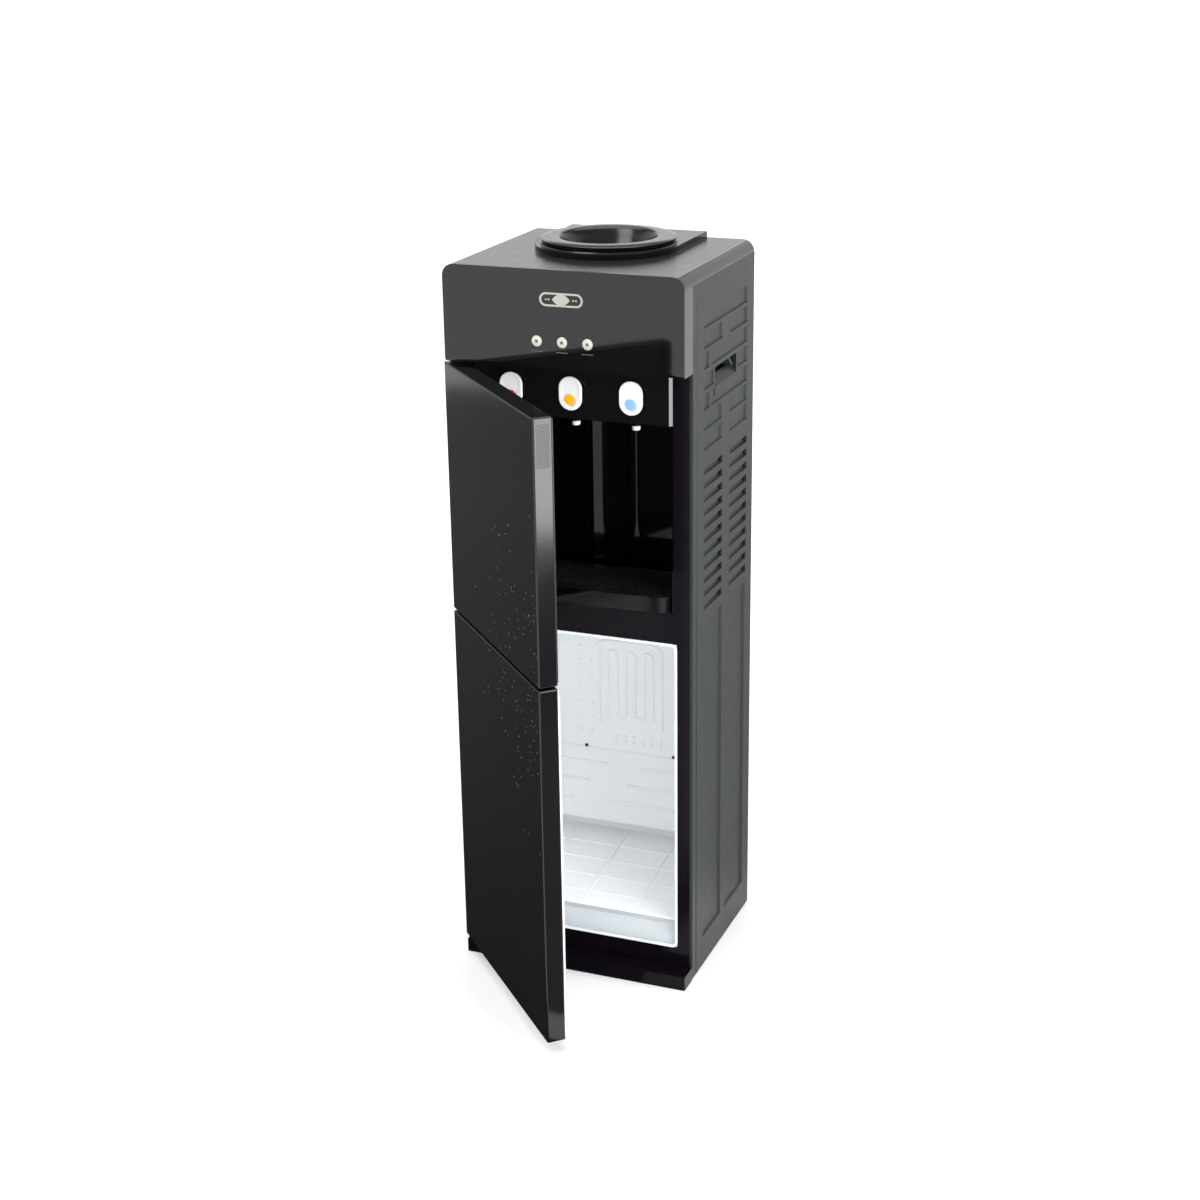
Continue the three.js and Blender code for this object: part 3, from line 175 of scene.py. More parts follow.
HINGE_STEEL = finish("Hinge steel", (0.66, 0.66, 0.64), 0.32, 0.05, 0.08, metallic=1.0,
                     grain=(500, 0.1, 0.0001))
BLACK_PAINT = finish("Black paint", (0.014, 0.014, 0.015), 0.42, 0.07, grain=(500, 0.15, 0.0003))
REAR_PAINT = finish("Rear paint", (0.022, 0.022, 0.023), 0.5, 0.06, grain=(240, 0.16, 0.0005))
RUBBER = finish("Rubber", (0.018, 0.018, 0.018), 0.82, 0.06, grain=(900, 0.3, 0.0003))
FOAM = finish("Foam", (0.78, 0.7, 0.5), 0.9, 0.05, 0.12, grain=(260, 0.6, 0.001), mottle=30)
SILICONE = finish("Silicone", (0.72, 0.76, 0.78), 0.4, 0.05, 0.04, grain=(200, 0.05, 0.0003),
                  subsurface=0.2)
ROLL_BOND = finish("Roll bond", (0.7, 0.7, 0.72), 0.35, 0.06, 0.06, metallic=1.0, grain=(300, 0.1, 0.0003))
BOARD_GREEN = finish("Board green", (0.03, 0.16, 0.07), 0.4, 0.05, 0.1, grain=(500, 0.1, 0.0002))
SWITCH_BLACK = finish("Switch black", (0.02, 0.02, 0.021), 0.35, 0.05, grain=(600, 0.12, 0.0002))
SWITCH_RED = finish("Switch red", (0.55, 0.03, 0.02), 0.3, 0.05, 0.06, grain=(500, 0.05, 0.0002))
SWITCH_GREEN = finish("Switch green", (0.03, 0.32, 0.08), 0.3, 0.05, 0.06, grain=(500, 0.05, 0.0002))
GASKET_WHITE = finish("Gasket white", (0.72, 0.74, 0.75), 0.5, 0.05, 0.03, grain=(200, 0.1, 0.0003))


# ---- Shapes, in millimetres ----
def shape(points, faces):
    made = bmesh.new()
    corners_made = [made.verts.new(p) for p in points]
    for face in faces:
        made.faces.new([corners_made[i] for i in face])
    bmesh.ops.recalc_face_normals(made, faces=made.faces)
    return made


def block(x0, x1, y0, y1, z0, z1):
    points = [(x, y, z) for x in (x0, x1) for y in (y0, y1) for z in (z0, z1)]
    return shape(points, [(0, 1, 3, 2), (4, 6, 7, 5), (0, 4, 5, 1), (2, 3, 7, 6), (0, 2, 6, 4),
                          (1, 5, 7, 3)])


def prism(outline, along, start, end):
    """A flat outline pushed along x, y or z."""
    def put(a, b, c):
        return {"x": (c, a, b), "y": (a, c, b), "z": (a, b, c)}[along]
    count = len(outline)
    points = [put(a, b, c) for c in (start, end) for a, b in outline]
    sides = [(i, (i + 1) % count, count + (i + 1) % count, count + i) for i in range(count)]
    return shape(points, [tuple(range(count)), tuple(range(count, 2 * count)), *sides])


def lathe(profile, x, y, steps=96, along="z"):
    """A closed profile of (radius, height) turned about an upright line, or one running front to back."""
    rings = []
    made = bmesh.new()
    for i in range(steps):
        angle = 2 * math.pi * i / steps
        ring = []
        for radius, height in profile:
            a, b = radius * math.cos(angle), radius * math.sin(angle)
            spot = (x + a, y + b, height) if along == "z" else (x + a, height, y + b)
            ring.append(made.verts.new(spot))
        rings.append(ring)
    for i in range(steps):
        here, there = rings[i], rings[(i + 1) % steps]
        for k in range(len(profile)):
            m = (k + 1) % len(profile)
            made.faces.new((here[k], there[k], there[m], here[m]))
    bmesh.ops.remove_doubles(made, verts=made.verts, dist=0.001)
    bmesh.ops.dissolve_degenerate(made, edges=made.edges, dist=0.001)
    bmesh.ops.recalc_face_normals(made, faces=made.faces)
    return made


def arc(cx, cy, radius, start, end, steps):
    return [(cx + radius * math.cos(math.radians(start + (end - start) * i / steps)),
             cy + radius * math.sin(math.radians(start + (end - start) * i / steps)))
            for i in range(steps + 1)]


def rounded(x0, x1, y0, y1, radius, steps=8):
    return [*arc(x1 - radius, y0 + radius, radius, -90, 0, steps),
            *arc(x1 - radius, y1 - radius, radius, 0, 90, steps),
            *arc(x0 + radius, y1 - radius, radius, 90, 180, steps),
            *arc(x0 + radius, y0 + radius, radius, 180, 270, steps)]


def arch(half, low, high, radius, steps=14):
    """The head's outline: square below, rounded above."""
    return [(-half, low), (half, low), *arc(half - radius, high - radius, radius, 0, 90, steps),
            *arc(-half + radius, high - radius, radius, 90, 180, steps)]


def merge(*made):
    """Several shapes as one mesh, each still closed."""
    whole = made[0]
    for other in made[1:]:
        spare = bpy.data.meshes.new("spare")
        other.to_mesh(spare)
        other.free()
        whole.from_mesh(spare)
        bpy.data.meshes.remove(spare)
    return whole


def from_node(node):
    """A copy of a CAD piece with its loose triangles joined into clean faces."""
    made = bmesh.new()
    made.from_mesh(NODES[node].data)
    bmesh.ops.remove_doubles(made, verts=made.verts, dist=1e-6)
    bmesh.ops.scale(made, vec=(1000, 1000, 1000), verts=made.verts)
    bmesh.ops.dissolve_limit(made, angle_limit=math.radians(0.5), verts=made.verts, edges=made.edges)
    return made


# ---- Objects ----
def stand(made, name):
    """An object from a shape, in metres."""
    mesh = bpy.data.meshes.new(name)
    bmesh.ops.scale(made, vec=(MM, MM, MM), verts=made.verts)
    made.to_mesh(mesh)
    made.free()
    thing = bpy.data.objects.new(name, mesh)
    SCENE.collection.objects.link(thing)
    return thing


def settle(thing):
    """Turn the object's modifiers into its mesh."""
    held = thing.evaluated_get(bpy.context.evaluated_depsgraph_get())
    mesh = bpy.data.meshes.new_from_object(held)
    old = thing.data
    thing.modifiers.clear()
    thing.data = mesh
    if not old.users:
        bpy.data.meshes.remove(old)
    return thing


def carve(thing, *tools, how="DIFFERENCE"):
    """Cut tools away from an object, or join them to it."""
    for tool in tools:
        cutter = stand(tool, "cutter")
        work = thing.modifiers.new("carve", "BOOLEAN")
        work.operation = how
        work.object = cutter
        work.solver = "EXACT"
        settle(thing)
        bpy.data.objects.remove(cutter)
    return thing


def soften(thing, width, segments=2, angle=32):
    """Round the edges and smooth the faces between them."""
    thing.data.polygons.foreach_set("use_smooth", [True] * len(thing.data.polygons))
    if width:
        work = thing.modifiers.new("soften", "BEVEL")
        work.width = width * MM
        work.segments = segments
        work.limit_method = "ANGLE"
        work.angle_limit = math.radians(angle)
        work.use_clamp_overlap = True
        settle(thing)
    return level(thing, angle + 6)


def level(thing, angle=38):
    """Keep flat faces flat beside rounded edges."""
    thing.data.polygons.foreach_set("use_smooth", [True] * len(thing.data.polygons))
    thing.data.set_sharp_from_angle(angle=math.radians(angle))
    work = thing.modifiers.new("level", "WEIGHTED_NORMAL")
    work.keep_sharp = True
    work.weight = 90
    return settle(thing)


def paint(thing, *materials):
    thing.data.materials.clear()
    for material in materials:
        thing.data.materials.append(material)
    return thing


def tone(thing, material, pick):
    """Give the faces that pick accepts a second material, by centre in millimetres and normal: a second
    finish on some pieces, painted shade on others.
    """
    thing.data.materials.append(material)
    for face in thing.data.polygons:
        if pick(face.center * 1000, face.normal):
            face.material_index = 1


def fit(thing, material, body, *nodes, turn=None):
    """Finish, mount and, on a door, swing a piece."""
    if turn:
        thing.data.transform(turn)
    paint(thing, material)
    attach(thing, body)
    if nodes:
        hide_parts(*nodes)
    return thing


def refined(node, material, body, width, segments=2, angle=32, name=None):
    """A CAD piece as it is, with softened edges."""
    thing = soften(stand(from_node(node), name or node + "_finished"), width, segments, angle)
    return fit(thing, material, body, node)


# ---- Geometry Nodes ----
SOCKETS = {float: "NodeSocketFloat", int: "NodeSocketInt", tuple: "NodeSocketVector",
           bpy.types.Material: "NodeSocketMaterial", bpy.types.Object: "NodeSocketObject"}


def new_tree(name, sizes):
    tree = bpy.data.node_groups.new(name, "GeometryNodeTree")
    tree.interface.new_socket("Geometry", in_out="INPUT", socket_type="NodeSocketGeometry")
    for label, value in sizes.items():
        tree.interface.new_socket(label, in_out="INPUT", socket_type=SOCKETS[type(value)])
    tree.interface.new_socket("Geometry", in_out="OUTPUT", socket_type="NodeSocketGeometry")
    start = tree.nodes.new("NodeGroupInput")
    end = tree.nodes.new("NodeGroupOutput")
    return tree, start.outputs, end.inputs


def step(tree, kind, inputs, output=0, **settings):
    """Add a node, feed its inputs by name or number, and give back one output."""
    node = tree.nodes.new(kind)
    for label, value in settings.items():
        setattr(node, label, value)
    for label, value in inputs.items():
        socket = node.inputs[label]
        if isinstance(value, bpy.types.NodeSocket):
            tree.links.new(value, socket)
        else:
            socket.default_value = value
    return node.outputs[output]


def close_tree(tree, geometry, material, end):
    real = step(tree, "GeometryNodeRealizeInstances", {0: geometry})
    tree.links.new(step(tree, "GeometryNodeSetMaterial", {"Geometry": real, "Material": material}), end[0])


def grow(thing, tree, sizes):
    """Run a tree on an object with its sizes, and keep the mesh."""
    work = thing.modifiers.new("grow", "NODES")
    work.node_group = tree
    for item in tree.interface.items_tree:
        if item.in_out == "INPUT" and item.name in sizes:
            work[item.identifier] = sizes[item.name]
    return settle(thing)


BEAD_SIZES = {"Radius": 0.001, "Material": LINER_WHITE}
BEADS, bead_in, bead_out = new_tree("Beads along lines", BEAD_SIZES)
bead_line = step(BEADS, "GeometryNodeMeshToCurve", {"Mesh": bead_in["Geometry"]})
bead_ring = step(BEADS, "GeometryNodeCurvePrimitiveCircle", {"Resolution": 12, "Radius": bead_in["Radius"]})
bead_tube = step(BEADS, "GeometryNodeCurveToMesh",
                 {"Curve": bead_line, "Profile Curve": bead_ring, "Fill Caps": True})
bead_smooth = step(BEADS, "GeometryNodeSetShadeSmooth", {"Geometry": bead_tube})
close_tree(BEADS, bead_smooth, bead_in["Material"], bead_out)


def beads(name, lines, radius, material):
    """Round beads that follow lists of points."""
    made = bmesh.new()
    for line in lines:
        spots = [made.verts.new(p) for p in line]
        for a, b in zip(spots, spots[1:]):
            made.edges.new((a, b))
    thing = stand(made, name)
    return grow(thing, BEADS, {"Radius": radius * MM, "Material": material})


def bend(points, radius, steps=6):
    """A line through points with each corner rounded to a radius."""
    out = [Vector(points[0])]
    for before, at, after in zip(points, points[1:], points[2:]):
        before, at, after = Vector(before), Vector(at), Vector(after)
        reach = min(radius, (before - at).length / 2.01, (after - at).length / 2.01)
        a = at + (before - at).normalized() * reach
        b = at + (after - at).normalized() * reach
        for i in range(steps + 1):
            t = i / steps
            out.append(a * (1 - t) ** 2 + at * 2 * t * (1 - t) + b * t * t)
    out.append(Vector(points[-1]))
    return out


# ---- Head ----
LAMP_X = [-35, 0, 35]
LAMP_Z = (corners("power_lamp_lens")[0].z + corners("power_lamp_lens")[1].z) / 2


def head_panel():
    skin = prism(arch(HALF, HEAD_LOW, DECK, 16), "y", FRONT, FRONT + 3)
    panel = stand(skin, "head_panel")
    carve(panel, prism([(FRONT - 1, HEAD_LOW - 1), (FRONT + 2.2, HEAD_LOW - 1), (FRONT, HEAD_LOW + 4.4),
                        (FRONT - 1, HEAD_LOW + 4.4)], "x", -HALF - 1, HALF + 1))
    returns = [block(-HALF, -HALF + 3, FRONT + 2.5, FACE - GAP, HEAD_LOW, CASE_TOP),
               block(HALF - 3, HALF, FRONT + 2.5, FACE - GAP, HEAD_LOW, CASE_TOP),
               block(-HALF, HALF, FRONT + 2.5, FACE - GAP, HEAD_LOW, HEAD_LOW + 3)]
    carve(panel, *returns, how="UNION")
    holes = [lathe([(0, FRONT - 1), (7.7, FRONT - 1), (7.7, FRONT + 4), (0, FRONT + 4)], x, LAMP_Z, 48, "y")
             for x in LAMP_X]
    badge_low, badge_high = corners("badge_plate")
    holes.append(prism(rounded(badge_low.x - GAP, badge_high.x + GAP, badge_low.z - GAP, badge_high.z + GAP,
                               9.2, 14),
                       "y", FRONT - 1, FRONT + 2.7))
    carve(panel, *holes)
    soften(panel, 0.7, 3)
    return fit(panel, PIANO_BLACK, "cabinet", "head_front_panel")


def lamp(name, x):
    lens = stand(lathe([(0, FRONT + 5), (9.4, FRONT + 5), (9.4, FRONT + 3.3), (7.4, FRONT + 3.3),
                        (7.4, FRONT + 0.9),
                        (6.9, FRONT + 0.3), (5.6, FRONT - 0.1), (3, FRONT - 0.35), (0, FRONT - 0.4)],
                       x, LAMP_Z, 48, "y"), name + "_lamp")
    soften(lens, 0)
    fit(lens, LENS_CREAM, "cabinet", name + "_lamp_lens")
    mark = stand(lathe([(0, FRONT - 0.3), (2.2, FRONT - 0.3), (2.2, FRONT - 0.46), (0, FRONT - 0.46)], x,
                       LAMP_Z, 24, "y"),
                 name + "_lamp_mark")
    fit(soften(mark, 0.05), PRINT_GREY, "cabinet")
    bars = [block(x + dx - 2.2, x + dx + 2.2, FRONT - 0.06, FRONT + 0.1, LAMP_Z - 13.6, LAMP_Z - 12.4)
            for dx in (-5.4, 0, 5.4)]
    fit(stand(merge(*bars), name + "_lamp_print"), PRINT_GREY, "cabinet")


def badge():
    """A plain pill-shaped badge: a rim, a dark field and a lens shape, with no lettering."""
    low, high = corners("badge_plate")
    z = (low.z + high.z) / 2
    plate = stand(prism(rounded(low.x, high.x, low.z, high.z, 8.9, 16), "y", FRONT - 0.2, FRONT + 2.3),
                  "badge")
    carve(plate, prism(rounded(low.x + 3, high.x - 3, low.z + 2.6, high.z - 2.6, 6.2, 16), "y", FRONT - 2,
                       FRONT + 0.5))
    fit(soften(plate, 0.25, 2), BADGE_SILVER, "cabinet", "badge_plate")
    field = stand(prism(rounded(low.x + 3.2, high.x - 3.2, low.z + 2.8, high.z - 2.8, 6, 16), "y",
                        FRONT + 0.15, FRONT + 0.6), "badge_field")
    fit(field, PIANO_BLACK, "cabinet")
    half_lens = arc(0, -14, 20, 45, 135, 16)
    outline = [(a, z + b) for a, b in half_lens] + [(-a, z - b) for a, b in half_lens[1:-1]]
    lens = stand(prism([(a * 0.86, z + (b - z) * 1.2) for a, b in outline], "y", FRONT - 0.35, FRONT + 0.3),
                 "badge_lens")
    fit(soften(lens, 0.2), BADGE_SILVER, "cabinet")
    bars = [block(s * x0 if s > 0 else -x1, s * x1 if s > 0 else -x0, FRONT - 0.2, FRONT + 0.3, z - 1,
                  z + 1)
            for s in (-1, 1) for x0, x1 in ((15.5, 18), (19.5, 22))]
    fit(soften(stand(merge(*bars), "badge_bars"), 0.15), BADGE_SILVER, "cabinet")


STEP_RADIUS = 98


def step_outline(radius, back, steps):
    """The raised step that carries the collar: round in front, straight sides to the rear."""
    return [(radius, back), (radius, COLLAR_Y), *arc(0, COLLAR_Y, radius, 0, -180, steps)[1:-1],
            (-radius, COLLAR_Y), (-radius, back)]


def top_cover():
    low, high = corners("top_cover")
    y0, plateau = low.y, high.z
    cover = stand(prism(arch(HALF, CASE_TOP + GAP, DECK, 16), "y", y0, BACK), "deck")
    inner = arch(HALF - 3, CASE_TOP - 2, DECK - 3, 13)
    carve(cover, prism(inner, "y", y0 + 3, BACK - 3))
    carve(cover, prism(step_outline(STEP_RADIUS, BACK, 64), "z", DECK - 2, plateau), how="UNION")
    carve(cover, lathe([(0, DECK - 20), (72, DECK - 20), (72, DECK + 20), (0, DECK + 20)], 0, COLLAR_Y, 96))
    soften(cover, 1.2, 3)
    fit(cover, DECK_SATIN, "cabinet", "top_cover")
    tone(cover, PIANO_BLACK, lambda centre, normal: abs(centre.x) > HALF - 16.5 and normal.z < 0.98)
    wall = step_outline(STEP_RADIUS + 0.5, BACK - 0.5, 96)
    inside = step_outline(STEP_RADIUS - 0.7, BACK - 0.5, 96)
    band = prism(wall + inside[::-1], "z", DECK + 0.1, plateau + 0.2)
    fit(soften(stand(band, "deck_step_band"), 0.3), FRAME_BLACK, "cabinet")


def collar():
    top = COLLAR_TOP
    low = COLLAR_LOW_CORNER.z
    seat = top - 9.7
    rim = [(64, top - 3.8), (66, top - 1.7), (69, top - 0.6), (74, top), (79, top - 0.1), (84, top - 0.6),
           (88.5, top - 1.6),
           (90.6, top - 2.6), (90.6, top - 3.1), (88.4, top - 3.5), (86.4, top - 3.8), (86, top - 4.4),
           (87, top - 4.9), (90, top - 5.1),
           (91, top - 5.8), (90, top - 6.6), (87.4, top - 6.9), (86.6, top - 7.5), (87.4, top - 8),
           (91.4, top - 8.4), (92, seat)]
    under = [(68, seat), (68, low + 33), (34, low + 3), (30.6, low), (30, low), (30, low + 3)]
    bowl = [(34, low + 6.2), (47, low + 20), (57, low + 38), (61, low + 50)]
    fit(soften(stand(lathe([*rim, *under, *bowl], 0, COLLAR_Y, 128), "collar"), 0, 2, 40), COLLAR_BLACK,
        "cabinet", "bottle_collar")
    low_probe, high_probe = corners("bottle_probe")
    z0, z1 = low_probe.z, high_probe.z
    probe = [(5, z0), (9, z0), (9, z0 + 8), (29.7, z0 + 8), (29.7, z0 + 10.4), (28.6, z0 + 11),
             (12, z0 + 12.6),
             (9.4, z0 + 14), (8.8, z0 + 24), (7.4, z1 - 1), (6, z1), (5, z1 - 0.6)]
    fit(soften(stand(lathe(probe, 0, COLLAR_Y, 64), "probe"), 0.3), NOZZLE_WHITE, "cabinet", "bottle_probe")


# ---- Side panels ----
COLUMNS = ((FACE + 44, FACE + 119), (FACE + 150, FACE + 225))
COURSE = 27
PATTERN_HIGH = DECK - 55
SHORT = 24


def pocket(sign, y0, y1, z0, z1, depth, draft):
    """A shallow tool with sloping sides that sinks a panel into a cabinet side."""
    out, inn = sign * (HALF + 1), sign * (HALF - depth)
    lip = draft * (depth + 1) / depth
    spread = [(out, y0 - lip + draft, y1 + lip - draft, z0 - lip + draft, z1 + lip - draft),
              (inn, y0 + draft, y1 - draft, z0 + draft, z1 - draft)]
    points = [(x, y, z) for x, ya, yb, za, zb in spread for y,
              z in ((ya, za), (yb, za), (yb, zb), (ya, zb))]
    sides = [(i, (i + 1) % 4, 4 + (i + 1) % 4, 4 + i) for i in range(4)]
    return shape(points, [(0, 1, 2, 3), (4, 5, 6, 7), *sides])


LOUVRE_SIZES = {"Scoop": NODES["right_side_panel"], "Count": 11, "Pitch": 0.0188, "Material": CASE_GRAIN}
LOUVRES, louvre_in, louvre_out = new_tree("Row of louvres", LOUVRE_SIZES)
louvre_scoop = step(LOUVRES, "GeometryNodeObjectInfo", {"Object": louvre_in["Scoop"]}, "Geometry")
louvre_drop = step(LOUVRES, "ShaderNodeMath", {0: louvre_in["Pitch"], 1: -1.0}, operation="MULTIPLY")
louvre_step = step(LOUVRES, "ShaderNodeCombineXYZ", {"Z": louvre_drop})
louvre_line = step(LOUVRES, "GeometryNodeMeshLine", {"Count": louvre_in["Count"], "Offset": louvre_step})
louvre_row = step(LOUVRES, "GeometryNodeInstanceOnPoints",
                  {"Points": louvre_line, "Instance": louvre_scoop})
louvre_real = step(LOUVRES, "GeometryNodeRealizeInstances", {0: louvre_row})
louvre_cut = step(LOUVRES, "GeometryNodeMeshBoolean",
                  {"Mesh 1": louvre_in["Geometry"], "Mesh 2": louvre_real},
                  operation="DIFFERENCE")
close_tree(LOUVRES, louvre_cut, louvre_in["Material"], louvre_out)


def louvre_scoop_tool(sign, y0, y1, z):
    """A scoop that deepens towards the rear, where a slot goes through the wall."""
    high = 10
    out = sign * (HALF + 0.5)
    front = [(out, y0, z), (out, y0, z - high + 2), (sign * (HALF - 1.6), y0 + 2, z - high + 3.4),
             (sign * (HALF - 1.2), y0 + 2, z - 0.6)]
    rear = [(out, y1, z + 0.6), (out, y1, z - high), (sign * (HALF - 3.5), y1 - 0.6, z - high + 2),
            (sign * (HALF - 3), y1 - 0.6, z)]
    scoop = shape([*front, *rear],
                  [(0, 1, 2, 3), (4, 5, 6, 7), (0, 1, 5, 4), (1, 2, 6, 5), (2, 3, 7, 6), (3, 0, 4, 7)])
    x0, x1 = sorted((sign * (HALF - 6), sign * (HALF - 1)))
    return scoop, block(x0, x1, y1 - 8, y1 - 0.8, z - high + 3, z - 1.4)


def side_panel(sign, node, name):
    x0, x1 = sorted((sign * HALF, sign * (HALF - 4)))
    panel = stand(block(x0, x1, FACE, BACK, 2, CASE_TOP), name)
    front, rear = COLUMNS
    far = rear[1]
    courses = [(0, front[0], far), (1, front[0], front[1]), (1, rear[0], far),
               (2, front[0], front[0] + SHORT), (2, front[0] + SHORT + 5, far),
               (3, front[0], FACE + 86), (3, FACE + 182, far),
               (4, front[0], front[0] + SHORT), (4, front[0] + SHORT + 5, far),
               (5, front[0], front[1]), (5, rear[0], far), (6, front[0], front[1]), (6, rear[0], far)]
    tools = []
    for course, y0, y1 in courses:
        top = PATTERN_HIGH - course * COURSE
        tools.append(pocket(sign, y0, y1, top - COURSE + 2.4, top - 2.4, 2.3, 1.6))
    for y0, y1 in ((FACE + 44, FACE + 121), (FACE + 141, FACE + 223)):
        tools.append(pocket(sign, y0, y1, 46, 520, 2.4, 1.8))
    tools.append(pocket(sign, FACE + 14, FACE + 17.4, 4, CASE_TOP - 3, 1.4, 1))
    carve(panel, merge(*tools), pocket(sign, FACE + 87.5, FACE + 93.5, 820, 860, 3.3, 0.6))
    for y0, y1 in COLUMNS:
        z = PATTERN_HIGH - 7 * COURSE - 22
        for number, tool in enumerate(louvre_scoop_tool(sign, y0, y1, z)):
            scoop = stand(tool, "scoop")
            grow(panel, LOUVRES, {**LOUVRE_SIZES, "Scoop": scoop})
            bpy.data.objects.remove(scoop)
    y0, y1 = FACE + 92, FACE + 176
    z0, z1 = 835, 861
    bx0, bx1 = sorted((sign * (HALF - 3), sign * (HALF - 26)))
    carve(panel, block(bx0, bx1, y0 - 2.5, y1 + 2.5, z0 - 2.5, z1 + 2.5), how="UNION")
    ramp = [(sign * (HALF + 1), z0), (sign * (HALF - 0.2), z0), (sign * (HALF - 9), z0 + 12),
            (sign * (HALF - 23.5), z0 + 12),
            (sign * (HALF - 23.5), z1), (sign * (HALF + 1), z1)]
    carve(panel, prism(ramp, "y", y0, y1))
    soften(panel, 0.7, 2, 20)
    fit(panel, CASE_GRAIN, "cabinet", node)
    # Painted shade: the louvre scoops and the deep faces of the handle pocket get the darker grey.
    tone(panel, LOUVRE_PAINTED_SHADE, lambda centre,
         normal: 530 < centre.z < 740 and abs(centre.x) < HALF - 0.6 and FACE + 40 < centre.y)
    tone(panel, LOUVRE_PAINTED_SHADE, lambda centre,
         normal: 820 < centre.z < 862 and abs(centre.x) < HALF - 8 and FACE + 88 < centre.y < FACE + 178)
    a, b = sign * (HALF - 1.2), sign * (HALF - 22)
    brace = shape([(a, y0 + 52, z1 + 0.2), (a, y0 + 58, z1 + 0.2), (a, y0 + 74, z0 + 12),
                   (a, y0 + 68, z0 + 12),
                   (b, y0 + 52, z1 + 0.2), (b, y0 + 58, z1 + 0.2), (b, y0 + 74, z0 + 12),
                   (b, y0 + 68, z0 + 12)],
                  [(0, 1, 2, 3), (4, 5, 6, 7), (0, 1, 5, 4), (1, 2, 6, 5), (2, 3, 7, 6), (3, 0, 4, 7)])
    fit(soften(stand(brace, name + "_handle_brace"), 0.5), CASE_GRAIN, "cabinet")


# ---- Alcove ----
FLUTES = ((-19, 16, 7.2), (36, 8, 3.4))


def alcove():
    low, high = ALCOVE_LOW_CORNER, ALCOVE_HIGH_CORNER

    def plan(grow_by, y0):
        half, back, corner = high.x - 2.5 + grow_by, high.y - 2.5 + grow_by, 26 + grow_by
        wall = [(-half, y0), (half, y0), *arc(half - corner, back - corner, corner, 0, 90, 12)]
        for i in range(1, 40):
            t = i / 40
            a = (half - corner) * (1 - 2 * t)
            bow = back - 2 * t * (1 - t) * 12
            for left, wide, rise in FLUTES if not grow_by else ():
                if left <= a <= left + wide:
                    bow -= rise * (1 - (a - left) / wide)
            wall.append((a, bow))
        return wall + arc(-half + corner, back - corner, corner, 90, 180, 12)
    shell = stand(prism(plan(2.5, low.y), "z", low.z, high.z), "alcove")
    carve(shell, prism(plan(0, low.y - 1), "z", low.z + 2.5, high.z - 2.5))
    holes = [lathe([(0, high.z - 10), (8.8, high.z - 10), (8.8, high.z + 1), (0, high.z + 1)], x, NOZZLE_Y,
                   32) for x in TAP_X]
    carve(shell, *holes)
    fit(soften(shell, 0.3, 2, 60), ALCOVE_BLACK, "cabinet", "alcove_liner")


TAP_NAMES = ("hot", "normal", "cold")
TAP_X = (-84, 0, 84)
NOZZLE_Y = FACE + 12
TAB_LOW, TAB_HIGH = corners("normal_tap_tab")
DOT_COLOURS = {"hot": DOT_RED, "normal": DOT_AMBER, "cold": DOT_BLUE}


def tab(name, x):
    tab_low, tab_high = corners(name + "_tap_tab")
    dot_low, dot_high = corners(name + "_tap_dot")
    body = name + "_tab"
    outline = rounded(x - 16, x + 16, tab_low.z, tab_high.z, 15.9, 24)
    y = tab_low.y
    plate = stand(prism(outline, "y", y, y + 4), name + "_tab_plate")
    soften(plate, 1.3, 4, 50)
    dot_z = (dot_low.z + dot_high.z) / 2
    scoop = rounded(x - 12.6, x + 12.6, dot_z - 1, tab_high.z - 3.4, 12.4, 20)
    carve(plate, prism(scoop, "y", y - 1, y + 0.9),
          lathe([(0, y - 1), (9, y - 1), (9, y + 1.2), (0, y + 1.2)], x, dot_z, 48, "y"))
    axle = (847, y + 5)
    rod = [(0, x - 13), (1.8, x - 13), (1.8, x + 13), (0, x + 13)]
    made = lathe(rod, 0, 0, 24)
    bmesh.ops.rotate(made, verts=made.verts, matrix=Matrix.Rotation(math.pi / 2, 3, "Y"))
    bmesh.ops.translate(made, verts=made.verts, vec=(0, axle[1], axle[0]))
    level(plate, 40)
    fit(plate, TAB_WHITE, body, name + "_tap_tab")
    fit(soften(stand(made, name + "_tab_axle"), 0.2), TAB_WHITE, body)
    face = [(0, y + 1.2), (7.2, y + 1.2), (7.2, y - 0.1), (6.7, y - 0.5), (4.5, y - 0.62), (0, y - 0.66)]
    fit(soften(stand(lathe(face, x, dot_z, 48, "y"), name + "_tab_dot"), 0), DOT_COLOURS[name], body,
        name + "_tap_dot")
    centre = [(0, y - 0.6), (2.6, y - 0.6), (2.6, y - 0.72), (0, y - 0.72)]
    fit(stand(lathe(centre, x, dot_z, 24, "y"), name + "_tab_dot_mark"), DOT_COLOURS[name], body)


def nozzle(name, x):
    low, high = corners(name + "_tap_body")
    tip = low.z
    spout = lathe([(3.6, tip), (4.9, tip), (5.4, tip + 0.6), (5.6, tip + 5.4), (4.8, tip + 6),
                   (4.8, tip + 20), (3.6, tip + 20)],
                  x, NOZZLE_Y, 40)
    skirt = lathe([(5, tip + 6.2), (7, tip + 6.2), (7.4, tip + 7), (7.4, tip + 22), (5, tip + 22)], x,
                  NOZZLE_Y, 40)
    rest = from_node(name + "_tap_body")
    body = stand(rest, name + "_tap_works")
    carve(body, block(x - 12, x + 12, NOZZLE_Y - 9, NOZZLE_Y + 7.6, tip - 1, tip + 12))
    fit(soften(body, 0.3), NOZZLE_WHITE, "cabinet", name + "_tap_body")
    fit(soften(stand(spout, name + "_spout"), 0.3), NOZZLE_WHITE, "cabinet")
    fit(soften(stand(skirt, name + "_spout_skirt"), 0.3), FRAME_BLACK, "cabinet")


TRAY_CORNER = 12


